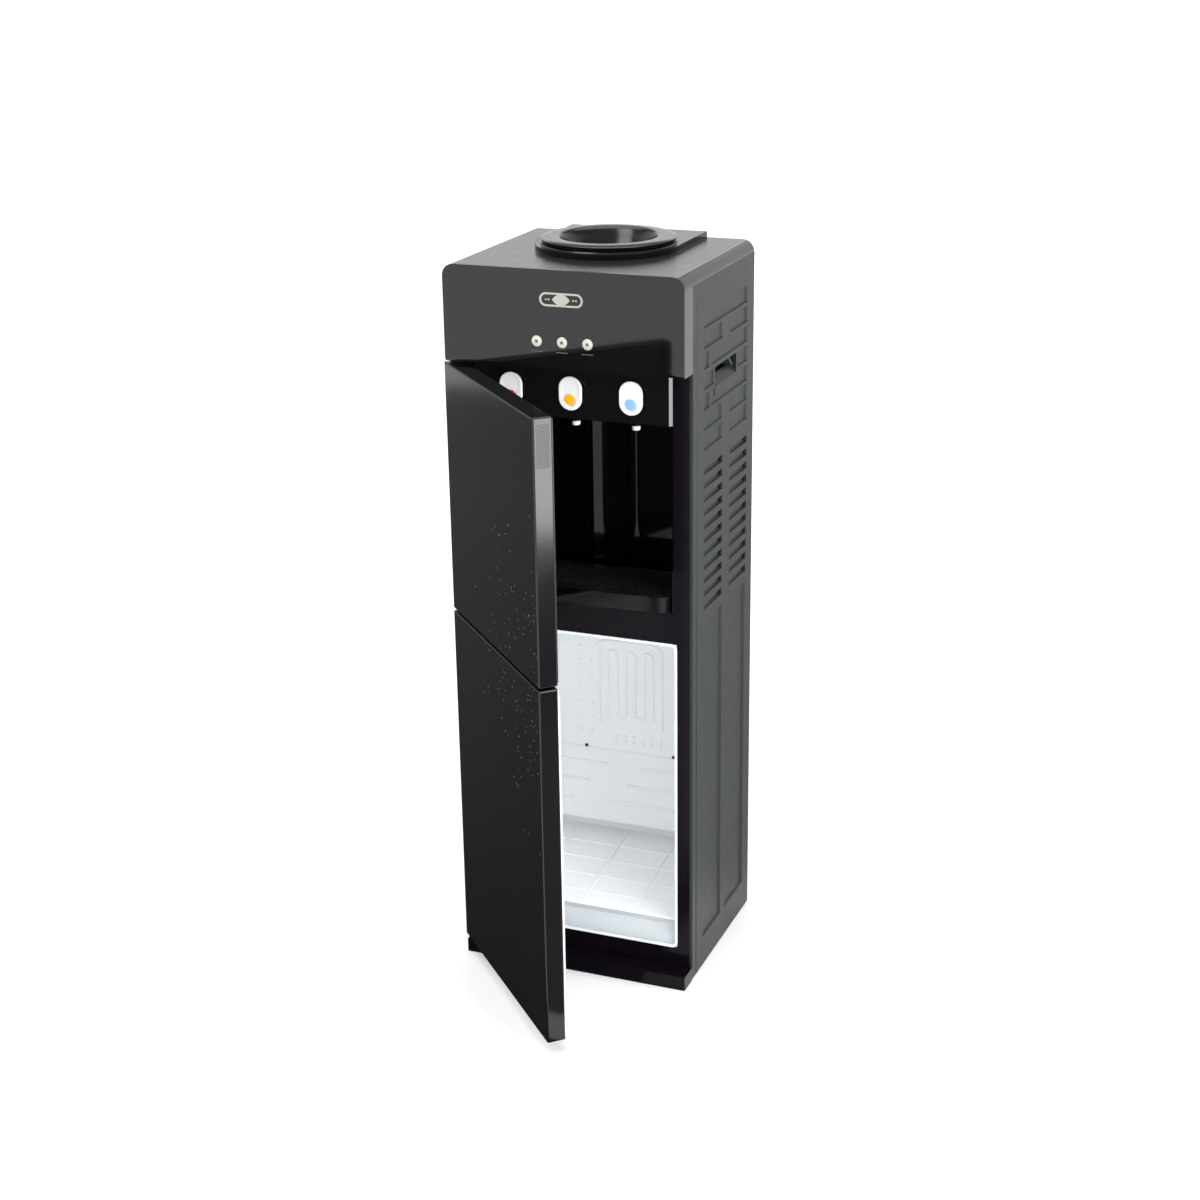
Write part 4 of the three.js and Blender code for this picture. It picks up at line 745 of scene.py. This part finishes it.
def tray():
    low, high = corners("drip_tray")
    half, y0, y1 = high.x, low.y, high.y
    bow = 4.5

    def plan(inset):
        corner = TRAY_CORNER - inset
        x0, x1, ya, yb = -half + inset, half - inset, y0 + inset, y1 - inset
        front = []
        for i in range(0, 33):
            t = i / 32
            a = x0 + corner + (x1 - x0 - 2 * corner) * t
            front.append((a, ya + bow * (2 * t - 1) ** 2))
        left = [(x0 + corner * (1 - math.sin(math.radians(v))),
                 ya + bow + corner * (1 - math.cos(math.radians(v))))
                for v in range(80, 0, -10)]
        right = [(-a, b) for a, b in left[::-1]]
        return [*left, *front, *right, *arc(x1 - corner, yb - corner, corner, 0, 90, 8),
                *arc(x0 + corner, yb - corner, corner, 90, 180, 8)]
    dish = stand(prism(plan(0), "z", low.z, high.z), "tray")
    carve(dish, prism(plan(2.5), "z", low.z + 2.5, high.z - 3.5),
          prism(plan(1.5), "z", high.z - 4, high.z + 1))
    fit(soften(dish, 0.9, 3, 40), ALCOVE_BLACK, "tray", "drip_tray")
    plate = stand(prism(plan(1.9), "z", high.z - 3.2, high.z - 0.6), "grille")
    hole = stand(prism([(-4.1, 0), (0, -4.1), (4.1, 0), (0, 4.1)], "z", high.z - 5, high.z + 1), "diamond")
    sizes = {"Hole": hole, "Across": 29, "Deep": 9, "Pitch": 0.0088,
             "Middle": (0.0, (y0 + y1 + 4) / 2 * MM, 0.0),
             "Material": INNER_BLACK}
    tree, given, out = new_tree("Diamond perforations", sizes)
    gap = given["Pitch"]
    one = step(tree, "GeometryNodeObjectInfo", {"Object": given["Hole"]}, "Geometry")
    rows = []
    for shift in (0.0, 0.5):
        across = step(tree, "ShaderNodeMath", {0: given["Across"], 1: 1 + 2 * shift}, operation="SUBTRACT")
        deep = step(tree, "ShaderNodeMath", {0: given["Deep"], 1: 1 + 2 * shift}, operation="SUBTRACT")
        wide = step(tree, "ShaderNodeMath", {0: across, 1: gap}, operation="MULTIPLY")
        long = step(tree, "ShaderNodeMath", {0: deep, 1: gap}, operation="MULTIPLY")
        across_count = step(tree, "ShaderNodeMath", {0: across, 1: 1.0}, operation="ADD")
        deep_count = step(tree, "ShaderNodeMath", {0: deep, 1: 1.0}, operation="ADD")
        grid = step(tree, "GeometryNodeMeshGrid",
                    {"Size X": wide, "Size Y": long, "Vertices X": across_count,
                                                   "Vertices Y": deep_count})
        rows.append(step(tree, "GeometryNodeInstanceOnPoints", {"Points": grid, "Instance": one}))
    both = tree.nodes.new("GeometryNodeJoinGeometry")
    for row in rows:
        tree.links.new(row, both.inputs[0])
    real = step(tree, "GeometryNodeRealizeInstances", {0: both.outputs[0]})
    placed = step(tree, "GeometryNodeTransform", {"Geometry": real, "Translation": given["Middle"]})
    holed = step(tree, "GeometryNodeMeshBoolean", {"Mesh 1": given["Geometry"], "Mesh 2": placed},
                 operation="DIFFERENCE")
    close_tree(tree, holed, given["Material"], out)
    grow(plate, tree, sizes)
    bpy.data.objects.remove(hole)
    fit(soften(plate, 0.25, 1), INNER_BLACK, "grille", "tray_grille")


# ---- Fridge ----
FRIDGE_HALF = FRIDGE_HIGH_CORNER.x
FRIDGE_TOP = FRIDGE_HIGH_CORNER.z
FRIDGE_LOW = FRIDGE_LOW_CORNER.z
FRIDGE_BACK = FRIDGE_HIGH_CORNER.y
WALL = 2.5


def fridge_profile(inset, y0):
    floor_front, floor_low = FACE + 16, FRIDGE_LOW - GAP + 38
    foot, back = FRIDGE_BACK - 13 - inset, FRIDGE_BACK - inset
    drop = [(FACE + 5 + 9.5 * (i / 6) ** 2, FRIDGE_LOW + 1.5 + (floor_low - FRIDGE_LOW - 14) * i / 6)
            for i in range(7)]
    lip = [(FACE + 12.6, floor_low - 7), (FACE + 11.4, floor_low - 4), (FACE + 12, floor_low - 1.4),
           (FACE + 15, floor_low),
           (floor_front + 5, floor_low + 0.3)]
    low_line = [(y0, FRIDGE_LOW), (FACE + 3, FRIDGE_LOW), *[(a - inset, b) for a, b in drop + lip[:-1]],
                lip[-1]]
    nose = [(foot, floor_low + 25),
            *[(foot - 10 + 3.4 * math.cos(math.radians(v)),
               floor_low + 42.5 + 3.4 * math.sin(math.radians(v)))
                                      for v in (-40, -75, -110, -145, -180, -195)]]
    ledge = [(back - 2.4, FRIDGE_LOW - GAP + 182), (back - 1.4, FRIDGE_LOW - GAP + 184.4),
             (back, FRIDGE_LOW - GAP + 185)]
    return ([(a, b + inset) for a, b in low_line + nose] + [(a, b + inset) for a, b in ledge] +
            [(back, FRIDGE_TOP - inset), (y0, FRIDGE_TOP - inset)])


def fridge():
    outside = prism(fridge_profile(0, FACE - 0.5), "x", -FRIDGE_HALF, FRIDGE_HALF)
    liner = stand(outside, "liner")
    hollow = stand(prism(fridge_profile(WALL, FACE - 6), "x", -FRIDGE_HALF + WALL, FRIDGE_HALF - WALL),
                   "hollow")
    soften(hollow, 6, 4, 75)
    work = liner.modifiers.new("carve", "BOOLEAN")
    work.object = hollow
    work.solver = "EXACT"
    work.operation = "DIFFERENCE"
    settle(liner)
    bpy.data.objects.remove(hollow)
    fit(soften(liner, 0.5, 2, 30), LINER_WHITE, "cabinet", "fridge_liner")
    # Painted shade on the undercut drop below the floor's front edge.
    tone(liner, LINER_PAINTED_SHADE, lambda centre, normal: centre.y < FACE + 15.5 and centre.z < FRIDGE_LOW + 37)
    rim_out = rounded(-FRIDGE_HALF - 1.2, FRIDGE_HALF + 1.2, FRIDGE_LOW - 1.2, FRIDGE_TOP + 1.2, 8, 8)
    rim = stand(prism(rim_out, "y", FACE - 2.2, FACE - 0.55), "liner_rim")
    carve(rim, prism(rounded(-FRIDGE_HALF + 2.4, FRIDGE_HALF - 2.4, FRIDGE_LOW + 2.4, FRIDGE_TOP - 2.4, 6,
                             8), "y",
                     FACE - 4, FACE + 1))
    fit(soften(rim, 0.7, 3), LINER_WHITE, "cabinet")
    y = FRIDGE_BACK - WALL
    low, high = FRIDGE_LOW + 228, FRIDGE_LOW + 351
    xs = [-40 + 14 * i for i in range(6)]
    path = []
    for i, x in enumerate(xs):
        ends = (low + 14, high - 6) if i % 2 == 0 else (high - 6, low + 14)
        path += [(x, y, ends[0]), (x, y, ends[1])]
    outer = [(xs[-1] + 14, y, low), (xs[-1] + 14, y, high + 8), (xs[0] - 14, y, high + 8),
             (xs[0] - 14, y, low)]
    path = [(a, b + 2.2, c) for a, b, c in path]
    outer = [(a, b + 2.2, c) for a, b, c in outer]
    runs = beads("liner_channels", [bend(path, 6.9), bend(outer, 14)], 3.9, LINER_WHITE)
    fit(runs, LINER_WHITE, "cabinet")
    floor_low = FRIDGE_LOW - GAP + 38 + WALL
    y_front, y_foot = FACE + 24, FRIDGE_BACK - 13 - WALL - 6

    def on_floor(x, share):
        return (x, y_front + (y_foot - y_front) * share, floor_low - 1.9 + 25 * share)

    def on_hump(x, z):
        z0, z1 = FRIDGE_LOW + 84, FRIDGE_LOW + 184
        share = (z - z0) / (z1 - z0)
        return (x, FRIDGE_BACK - 27.2 + 24 * share, z)
    ribs = [[on_floor(x, t / 8) for t in range(0, 9)] for x in (-83, -4, 74)]
    ribs += [[on_floor(-128 + 256 * t / 8, share) for t in range(9)] for share in (0.1, 0.32, 0.55, 0.78)]
    ribs += [[on_hump(a, s), on_hump(b, s)] for a, b, s in
             ((-130, -40, 214), (-130, -67, 186), (-130, -89, 158), (12, 130, 214), (-7, 130, 186),
              (-32, 130, 160))]
    fit(beads("liner_ribs", ribs, 3.2, LINER_WHITE), LINER_WHITE, "cabinet")
    dimples = []
    for z in range(9):
        for dx in (0, 18):
            dimples.append(lathe([(0, y - 1.3), (2.4, y - 0.9), (3.6, y + 0.6), (0, y + 0.6)], -84 + dx,
                                 FRIDGE_LOW + 214 + z * 22, 16, "y"))
    for row in range(2):
        for i in range(9):
            dimples.append(lathe([(0, y - 1.3), (2.4, y - 0.9), (3.6, y + 0.6), (0, y + 0.6)], -28 + i * 14,
                                 FRIDGE_LOW + 202 + row * 8, 16, "y"))
    fit(soften(stand(merge(*dimples), "liner_dimples"), 0), LINER_WHITE, "cabinet")
    # Two black discs on the back wall stand in for holes: painted shade for their dark insides.
    holes = [lathe([(0, yy), (2.6, yy), (2.6, yy + 1), (0, yy + 1)], x, z, 20, "y")
             for x, z, yy in ((-75, FRIDGE_LOW + 189, y - 1.6), (63, FRIDGE_LOW + 189, y - 1.6))]
    fit(stand(merge(*holes), "liner_holes"), INNER_BLACK, "cabinet")


# ---- Doors ----
def door(name, low, high, body):
    x0, x1 = -DOOR_HALF, DOOR_HALF
    shell = stand(block(x0, x1, FRONT, DOOR_BACK, low, high), name)
    soften(shell, 2.4, 4, 40)
    carve(shell, block(x0 + 3, x1 - 3, FRONT + 3, DOOR_BACK + 1, low + 3, high - 3))
    bosses = [block(x0 + 1, x0 + 13, FRONT + 1.5, DOOR_BACK - 1, a, b) for a,
              b in ((low + 1, low + 15), (high - 15, high - 1))]
    carve(shell, merge(*bosses), how="UNION")
    hx, hy = HINGE.x * 1000, HINGE.y * 1000
    bores = [lathe([(0, a), (2.9, a), (2.9, b), (0, b)], hx, hy, 32) for a,
             b in ((low - 2, low + 12), (high - 12, high + 2))]
    carve(shell, merge(*bores))
    level(shell)
    fit(shell, DOOR_BLACK, body, name)
    tone(shell, DOOR_EDGE, lambda centre, normal: normal.x > 0.3 and centre.x > x1 - 3)
    shell.data.transform(SWING)


SPARK_SIZES = {"Seed": 3, "Density": 9000.0, "Size": 0.0012, "Middle": 0.523, "Reach": 0.25,
               "Free edge": 0.164,
               "Material": DOOR_SPARK}
SPARKS, spark_in, spark_out = new_tree("Sparks on a door", SPARK_SIZES)
spark_place = SPARKS.nodes.new("GeometryNodeInputPosition").outputs[0]
spark_xyz = SPARKS.nodes.new("ShaderNodeSeparateXYZ")
SPARKS.links.new(spark_place, spark_xyz.inputs[0])
spark_off = step(SPARKS, "ShaderNodeMath", {0: spark_xyz.outputs["Z"], 1: spark_in["Middle"]},
                 operation="SUBTRACT")
spark_away = step(SPARKS, "ShaderNodeMath", {0: spark_off, 1: 0.0}, operation="ABSOLUTE")
spark_near = step(SPARKS, "ShaderNodeMapRange",
                  {"Value": spark_away, "From Min": spark_in["Reach"], "From Max": 0.0})
spark_in_from_edge = step(SPARKS, "ShaderNodeMath", {0: spark_in["Free edge"], 1: spark_xyz.outputs["X"]},
                          operation="SUBTRACT")
spark_edge = step(SPARKS, "ShaderNodeMapRange",
                  {"Value": spark_in_from_edge, "From Min": 0.24, "From Max": 0.02})
spark_both = step(SPARKS, "ShaderNodeMath", {0: spark_near, 1: spark_edge}, operation="MULTIPLY")
spark_patch = step(SPARKS, "ShaderNodeTexNoise", {"Scale": 14.0}, "Fac")
spark_patchy = step(SPARKS, "ShaderNodeMapRange", {"Value": spark_patch, "From Min": 0.4, "From Max": 0.56})
spark_all = step(SPARKS, "ShaderNodeMath", {0: spark_both, 1: spark_patchy}, operation="MULTIPLY")
spark_count = step(SPARKS, "ShaderNodeMath", {0: spark_all, 1: spark_in["Density"]}, operation="MULTIPLY")
spark_points = step(SPARKS, "GeometryNodeDistributePointsOnFaces",
                    {"Mesh": spark_in["Geometry"], "Density": spark_count, "Seed": spark_in["Seed"]})
spark_disc = step(SPARKS, "GeometryNodeMeshCylinder",
                  {"Vertices": 8, "Radius": spark_in["Size"], "Depth": 0.00024}, "Mesh")
spark_turn = step(SPARKS, "GeometryNodeTransform",
                  {"Geometry": spark_disc, "Rotation": (math.pi / 2, 0.0, 0.0)})
spark_scale = step(SPARKS, "FunctionNodeRandomValue", {2: 0.55, 3: 1.1, "Seed": spark_in["Seed"]}, 1,
                   data_type="FLOAT")
spark_set = step(SPARKS, "GeometryNodeInstanceOnPoints",
                 {"Points": spark_points, "Instance": spark_turn, "Scale": spark_scale})
close_tree(SPARKS, spark_set, spark_in["Material"], spark_out)


def sparks(name, low, high, body, seed):
    """Tiny silvered dots printed on a door, thickest by its free edge and the split."""
    points = [(-DOOR_HALF + 4, FRONT - 0.02, low + 4), (DOOR_HALF - 4, FRONT - 0.02, low + 4),
              (DOOR_HALF - 4, FRONT - 0.02, high - 4), (-DOOR_HALF + 4, FRONT - 0.02, high - 4)]
    made = bmesh.new()
    made.faces.new([made.verts.new(p) for p in points])
    bmesh.ops.subdivide_edges(made, edges=made.edges, cuts=40, use_grid_fill=True)
    sheet = stand(made, name)
    grow(sheet, SPARKS, {**SPARK_SIZES, "Seed": seed})
    fit(sheet, DOOR_SPARK, body, turn=SWING)


def door_trim():
    """The finger grip on the upper door's free edge, cut with fine slanting ribs."""
    x = DOOR_HALF
    high, low = UPPER_HIGH - 5, UPPER_HIGH - 66
    plate = stand(block(x - 1, x + 0.25, FRONT + 2.6, DOOR_BACK - 2.4, low, high), "grip_plate")
    fit(soften(plate, 0.1, 1), DOOR_EDGE, "upper_door", turn=SWING)
    lines = []
    y0, y1 = FRONT + 4, DOOR_BACK - 4
    slope = 17 / (y1 - y0)
    for i in range(22):
        z = low - 14 + i * 3.6
        ends = [(y, z + slope * (y - y0)) for y in (y0, y1)]
        for k in (0, 1):
            y, at = ends[k]
            kept = min(max(at, low + 3), high - 3)
            ends[k] = (y + (kept - at) / slope, kept)
        if ends[0][0] < ends[1][0] and y0 - 0.1 <= ends[0][0] and ends[1][0] <= y1 + 0.1:
            lines.append([(x + 0.25, *ends[0]), (x + 0.25, *ends[1])])
    fit(beads("grip_ribs", lines, 0.35, DOOR_EDGE), DOOR_EDGE, "upper_door", turn=SWING)


def inner_panel(node, name, material, body):
    pan = from_node(node)
    bmesh.ops.scale(pan, vec=(MM, MM, MM), verts=pan.verts)
    bmesh.ops.transform(pan, matrix=SWING.inverted(), verts=pan.verts)
    bmesh.ops.scale(pan, vec=(1000, 1000, 1000), verts=pan.verts)
    panel = soften(stand(pan, name), 1.2, 3)
    fit(panel, material, body, node, turn=SWING)


def gasket():
    low, high = LOWER_LOW + 12, LOWER_HIGH - 12
    x0, x1 = -DOOR_HALF + 12, DOOR_HALF - 6
    y = FRONT + 28.1
    lips = []
    for inset, radius in ((3.2, 1.6), (7, 1.6)):
        a, b, c, d = x0 + inset, x1 - inset, low + inset, high - inset
        ring = [(a, y + 1.6, c), (b, y + 1.6, c), (b, y + 1.6, d), (a, y + 1.6, d), (a, y + 1.6, c)]
        lips.append(ring)
    strip = stand(prism(rounded(x0, x1, low, high, 5, 6), "y", y, y + 1.2), "gasket")
    carve(strip, prism(rounded(x0 + 10, x1 - 10, low + 10, high - 10, 3, 6), "y", y - 1, y + 3))
    fit(soften(strip, 0.3), GASKET_WHITE, "lower_door", "lower_door_gasket", turn=SWING)
    fit(beads("gasket_lips", lips, 1.5, GASKET_WHITE), GASKET_WHITE, "lower_door", turn=SWING)


# ---- Rear ----
def condenser():
    low, high = corners("condenser_coil")
    y = (low.y + high.y) / 2 + 0.6
    x = high.x - 20
    z0, z1 = low.z + 12, high.z - 12
    runs = 13
    path = []
    for i in range(runs):
        z = z0 + (z1 - z0) * i / (runs - 1)
        side = 1 if i % 2 == 0 else -1
        path += [(-side * x, y, z), (side * x, y, z)]
    tube = beads("condenser_tube", [bend(path, (z1 - z0) / (runs - 1) / 2 - 0.1, 8)], 2.4, BLACK_PAINT)
    fit(tube, BLACK_PAINT, "cabinet", "condenser_coil")
    wires = []
    for side in (-2.9, 2.9):
        wires += [[(-x + 6 + (2 * x - 12) * i / 41, y + side, z0 - 8),
                   (-x + 6 + (2 * x - 12) * i / 41, y + side, z1 + 8)]
                  for i in range(42)]
    fit(beads("condenser_wires", wires, 0.6, BLACK_PAINT), BLACK_PAINT, "cabinet")
    rails = [block(s - 5, s + 5, low.y + 0.2, y - 3.4, low.z, high.z) for s in (-x / 2, x / 2)]
    fit(soften(stand(merge(*rails), "condenser_rails"), 0.4), BLACK_PAINT, "cabinet")


def keep(node, material):
    """A CAD piece whose own shape shows."""
    for hold in NODES[node].material_slots:
        hold.material = material


def build():
    head_panel()
    for name, x in zip(("heating", "power", "cooling"), LAMP_X):
        lamp(name, x)
    badge()
    top_cover()
    collar()
    side_panel(-1, "left_side_panel", "left_side")
    side_panel(1, "right_side_panel", "right_side")
    alcove()
    for name, x in zip(TAP_NAMES, TAP_X):
        tab(name, x)
        nozzle(name, x)
    tray()
    fridge()
    door("upper_door_shell", UPPER_LOW, UPPER_HIGH, "upper_door")
    door("lower_door_shell", LOWER_LOW, LOWER_HIGH, "lower_door")
    sparks("upper_door_sparks", UPPER_LOW, UPPER_HIGH, "upper_door", 3)
    sparks("lower_door_sparks", LOWER_LOW, LOWER_HIGH, "lower_door", 8)
    door_trim()
    inner_panel("upper_door_inner_panel", "upper_door_lining", INNER_BLACK, "upper_door")
    inner_panel("lower_door_liner", "lower_door_lining", LINER_WHITE, "lower_door")
    gasket()
    condenser()
    for node, material, body, width in (
            ("front_frame", FRAME_BLACK, "cabinet", 0.8), ("tap_fascia", PIANO_BLACK, "cabinet", 0.7),
            ("base_pan", FRAME_BLACK, "cabinet", 1.0), ("rear_panel", REAR_PAINT, "cabinet", 0.2),
            ("switch_housing", SWITCH_BLACK, "cabinet", 0.8), ("cord_gland", SWITCH_BLACK, "cabinet", 0.6),
            ("drain_plug", SWITCH_BLACK, "cabinet", 0.8), ("hinge_top", BLACK_PAINT, "cabinet", 0.3),
            ("hinge_middle", HINGE_STEEL, "cabinet", 0.3), ("hinge_bottom", HINGE_STEEL, "cabinet", 0.3),
            ("hot_switch_rocker", SWITCH_RED, "hot_rocker", 0.5),
            ("cold_switch_rocker", SWITCH_GREEN, "cold_rocker", 0.5),
            ("compressor", BLACK_PAINT, "cabinet", 1.5), ("hot_tank", STAINLESS, "cabinet", 0),
            ("machine_deck", GALVANISED, "cabinet", 0.3)):
        refined(node, material, body, width)
    for foot in ("foot_front_left", "foot_front_right", "foot_rear_left", "foot_rear_right"):
        refined(foot, RUBBER, "cabinet", 0.8)
    for node, material in (
            ("control_board", BOARD_GREEN), ("cold_tank", STAINLESS), ("cold_tank_lid", NOZZLE_WHITE),
            ("cold_tank_jacket", FOAM), ("hot_tank_thermostat", SWITCH_BLACK),
            ("compressor_grommet_left", RUBBER), ("compressor_grommet_right", RUBBER),
            ("fridge_insulation", FOAM), ("evaporator_plate", ROLL_BOND), ("hot_water_tube", SILICONE),
            ("normal_water_tube", SILICONE), ("cold_water_tube", SILICONE)):
        keep(node, material)


# ---- Floor, light and camera ----
def reflection_only_grey(name, near, far):
    """A matt grey, seen only in reflections, that pales with its distance from the middle of the floor: a
    painted reflection of the floor.
    """
    material = finish(name, (near, near, near), 0.9, 0.05, 0.02, specular=0.0)
    tree = material.node_tree
    place = tree.nodes.new("ShaderNodeTexCoord")
    reach = tree.nodes.new("ShaderNodeVectorMath")
    reach.operation = "LENGTH"
    fade = tree.nodes.new("ShaderNodeMapRange")
    fade.inputs["From Min"].default_value = 0.3
    fade.inputs["From Max"].default_value = 2.4
    fade.inputs["To Min"].default_value = near
    fade.inputs["To Max"].default_value = far
    tree.links.new(place.outputs["Object"], reach.inputs[0])
    tree.links.new(reach.outputs["Value"], fade.inputs["Value"])
    tree.links.new(fade.outputs["Result"], tree.nodes["Principled BSDF"].inputs["Base Color"])
    return material


def floor_and_light():
    made = bmesh.new()
    bmesh.ops.create_circle(made, cap_ends=True, segments=96, radius=9000)
    ground = stand(made, "floor")
    pale = finish("Floor pale", (0.93, 0.93, 0.93), 0.6, 0.05, 0.005, grain=(3, 0.02, 0.001), specular=0.2)
    ground.data.materials.append(pale)
    world = bpy.data.worlds.new("Studio")
    world.use_nodes = True
    tree = world.node_tree
    place = tree.nodes.new("ShaderNodeTexCoord")
    split = tree.nodes.new("ShaderNodeSeparateXYZ")
    ramp = tree.nodes.new("ShaderNodeValToRGB")
    ramp.color_ramp.elements[0].position, ramp.color_ramp.elements[0].color = 0.0, (0.42, 0.42, 0.42, 1)
    ramp.color_ramp.elements[1].position, ramp.color_ramp.elements[1].color = 1.0, (1, 1, 1, 1)
    for at, shade in ((0.36, 0.42), (0.41, 0.13), (0.7, 0.16), (0.8, 1.0)):
        ramp.color_ramp.elements.new(at).color = (shade, shade, shade, 1)
    tree.links.new(place.outputs["Generated"], split.inputs["Vector"])
    tree.links.new(split.outputs["Z"], ramp.inputs["Fac"])
    tree.links.new(ramp.outputs["Color"], tree.nodes["Background"].inputs["Color"])
    tree.nodes["Background"].inputs["Strength"].default_value = 2.6
    SCENE.world = world
    for name, place, aim, size, power in (
            ("Soft box front right", (1.22, -0.74, 0.68), (0.1, -0.35, 0.68), (0.75, 0.7), 13),
            ("Soft box front left", (-0.87, -1.8, 2.4), (0, 0, 0.6), (1.4, 1.0), 22),
            ("Soft box behind left", (-1.0, 2.5, 1.95), (0, 0, 1.0), (1.7, 0.5), 1.8)):
        lamp_data = bpy.data.lights.new(name, "AREA")
        lamp_data.shape = "RECTANGLE"
        lamp_data.size, lamp_data.size_y = size
        lamp_data.energy = power
        box = bpy.data.objects.new(name, lamp_data)
        box.location = place
        box.rotation_euler = (Vector(aim) - Vector(place)).to_track_quat("-Z", "Y").to_euler()
        box.visible_camera = False
        SCENE.collection.objects.link(box)
    # Grey cards on the floor that only glossy rays see: painted reflections on the doors, frame and side
    # panels, darkest near the cabinet.
    for name, x0, x1, y0, y1, near, far in (("Dark card left", -3200, 100, -500, 1500, 0.055, 0.17),
                                            ("Dark card front right", 160, 2400, -1260, -380, 0.12, 0.12),
                                            ("Dark card right", 200, 2600, 150, 3000, 0.42, 0.52)):
        card = stand(shape([(x0, y0, 3), (x1, y0, 3), (x1, y1, 3), (x0, y1, 3)], [(0, 1, 2, 3)]), name)
        card.data.materials.append(reflection_only_grey(name + " cloth", near, far))
        card.visible_camera = card.visible_diffuse = card.visible_shadow = card.visible_transmission = False
    SCENE.view_settings.view_transform = "Standard"


def camera():
    side, down, roll = math.radians(21.89), math.radians(19.66), math.radians(-0.83)
    ahead = Vector((-math.sin(side) * math.cos(down), math.cos(side) * math.cos(down), -math.sin(down)))
    right = ahead.cross(Vector((0, 0, 1))).normalized()
    up = right.cross(ahead)
    tilted_right = right * math.cos(roll) + up * math.sin(roll)
    tilted_up = up * math.cos(roll) - right * math.sin(roll)
    data = bpy.data.cameras.new("View")
    data.lens = 62.82
    data.sensor_width = 36
    data.clip_end = 60
    eye = bpy.data.objects.new("View", data)
    turn = Matrix((tilted_right, tilted_up, -ahead)).transposed().to_4x4()
    eye.matrix_world = Matrix.Translation((1.0192, -2.5605, 1.4958)) @ turn
    SCENE.collection.objects.link(eye)
    SCENE.camera = eye


build()
floor_and_light()
camera()
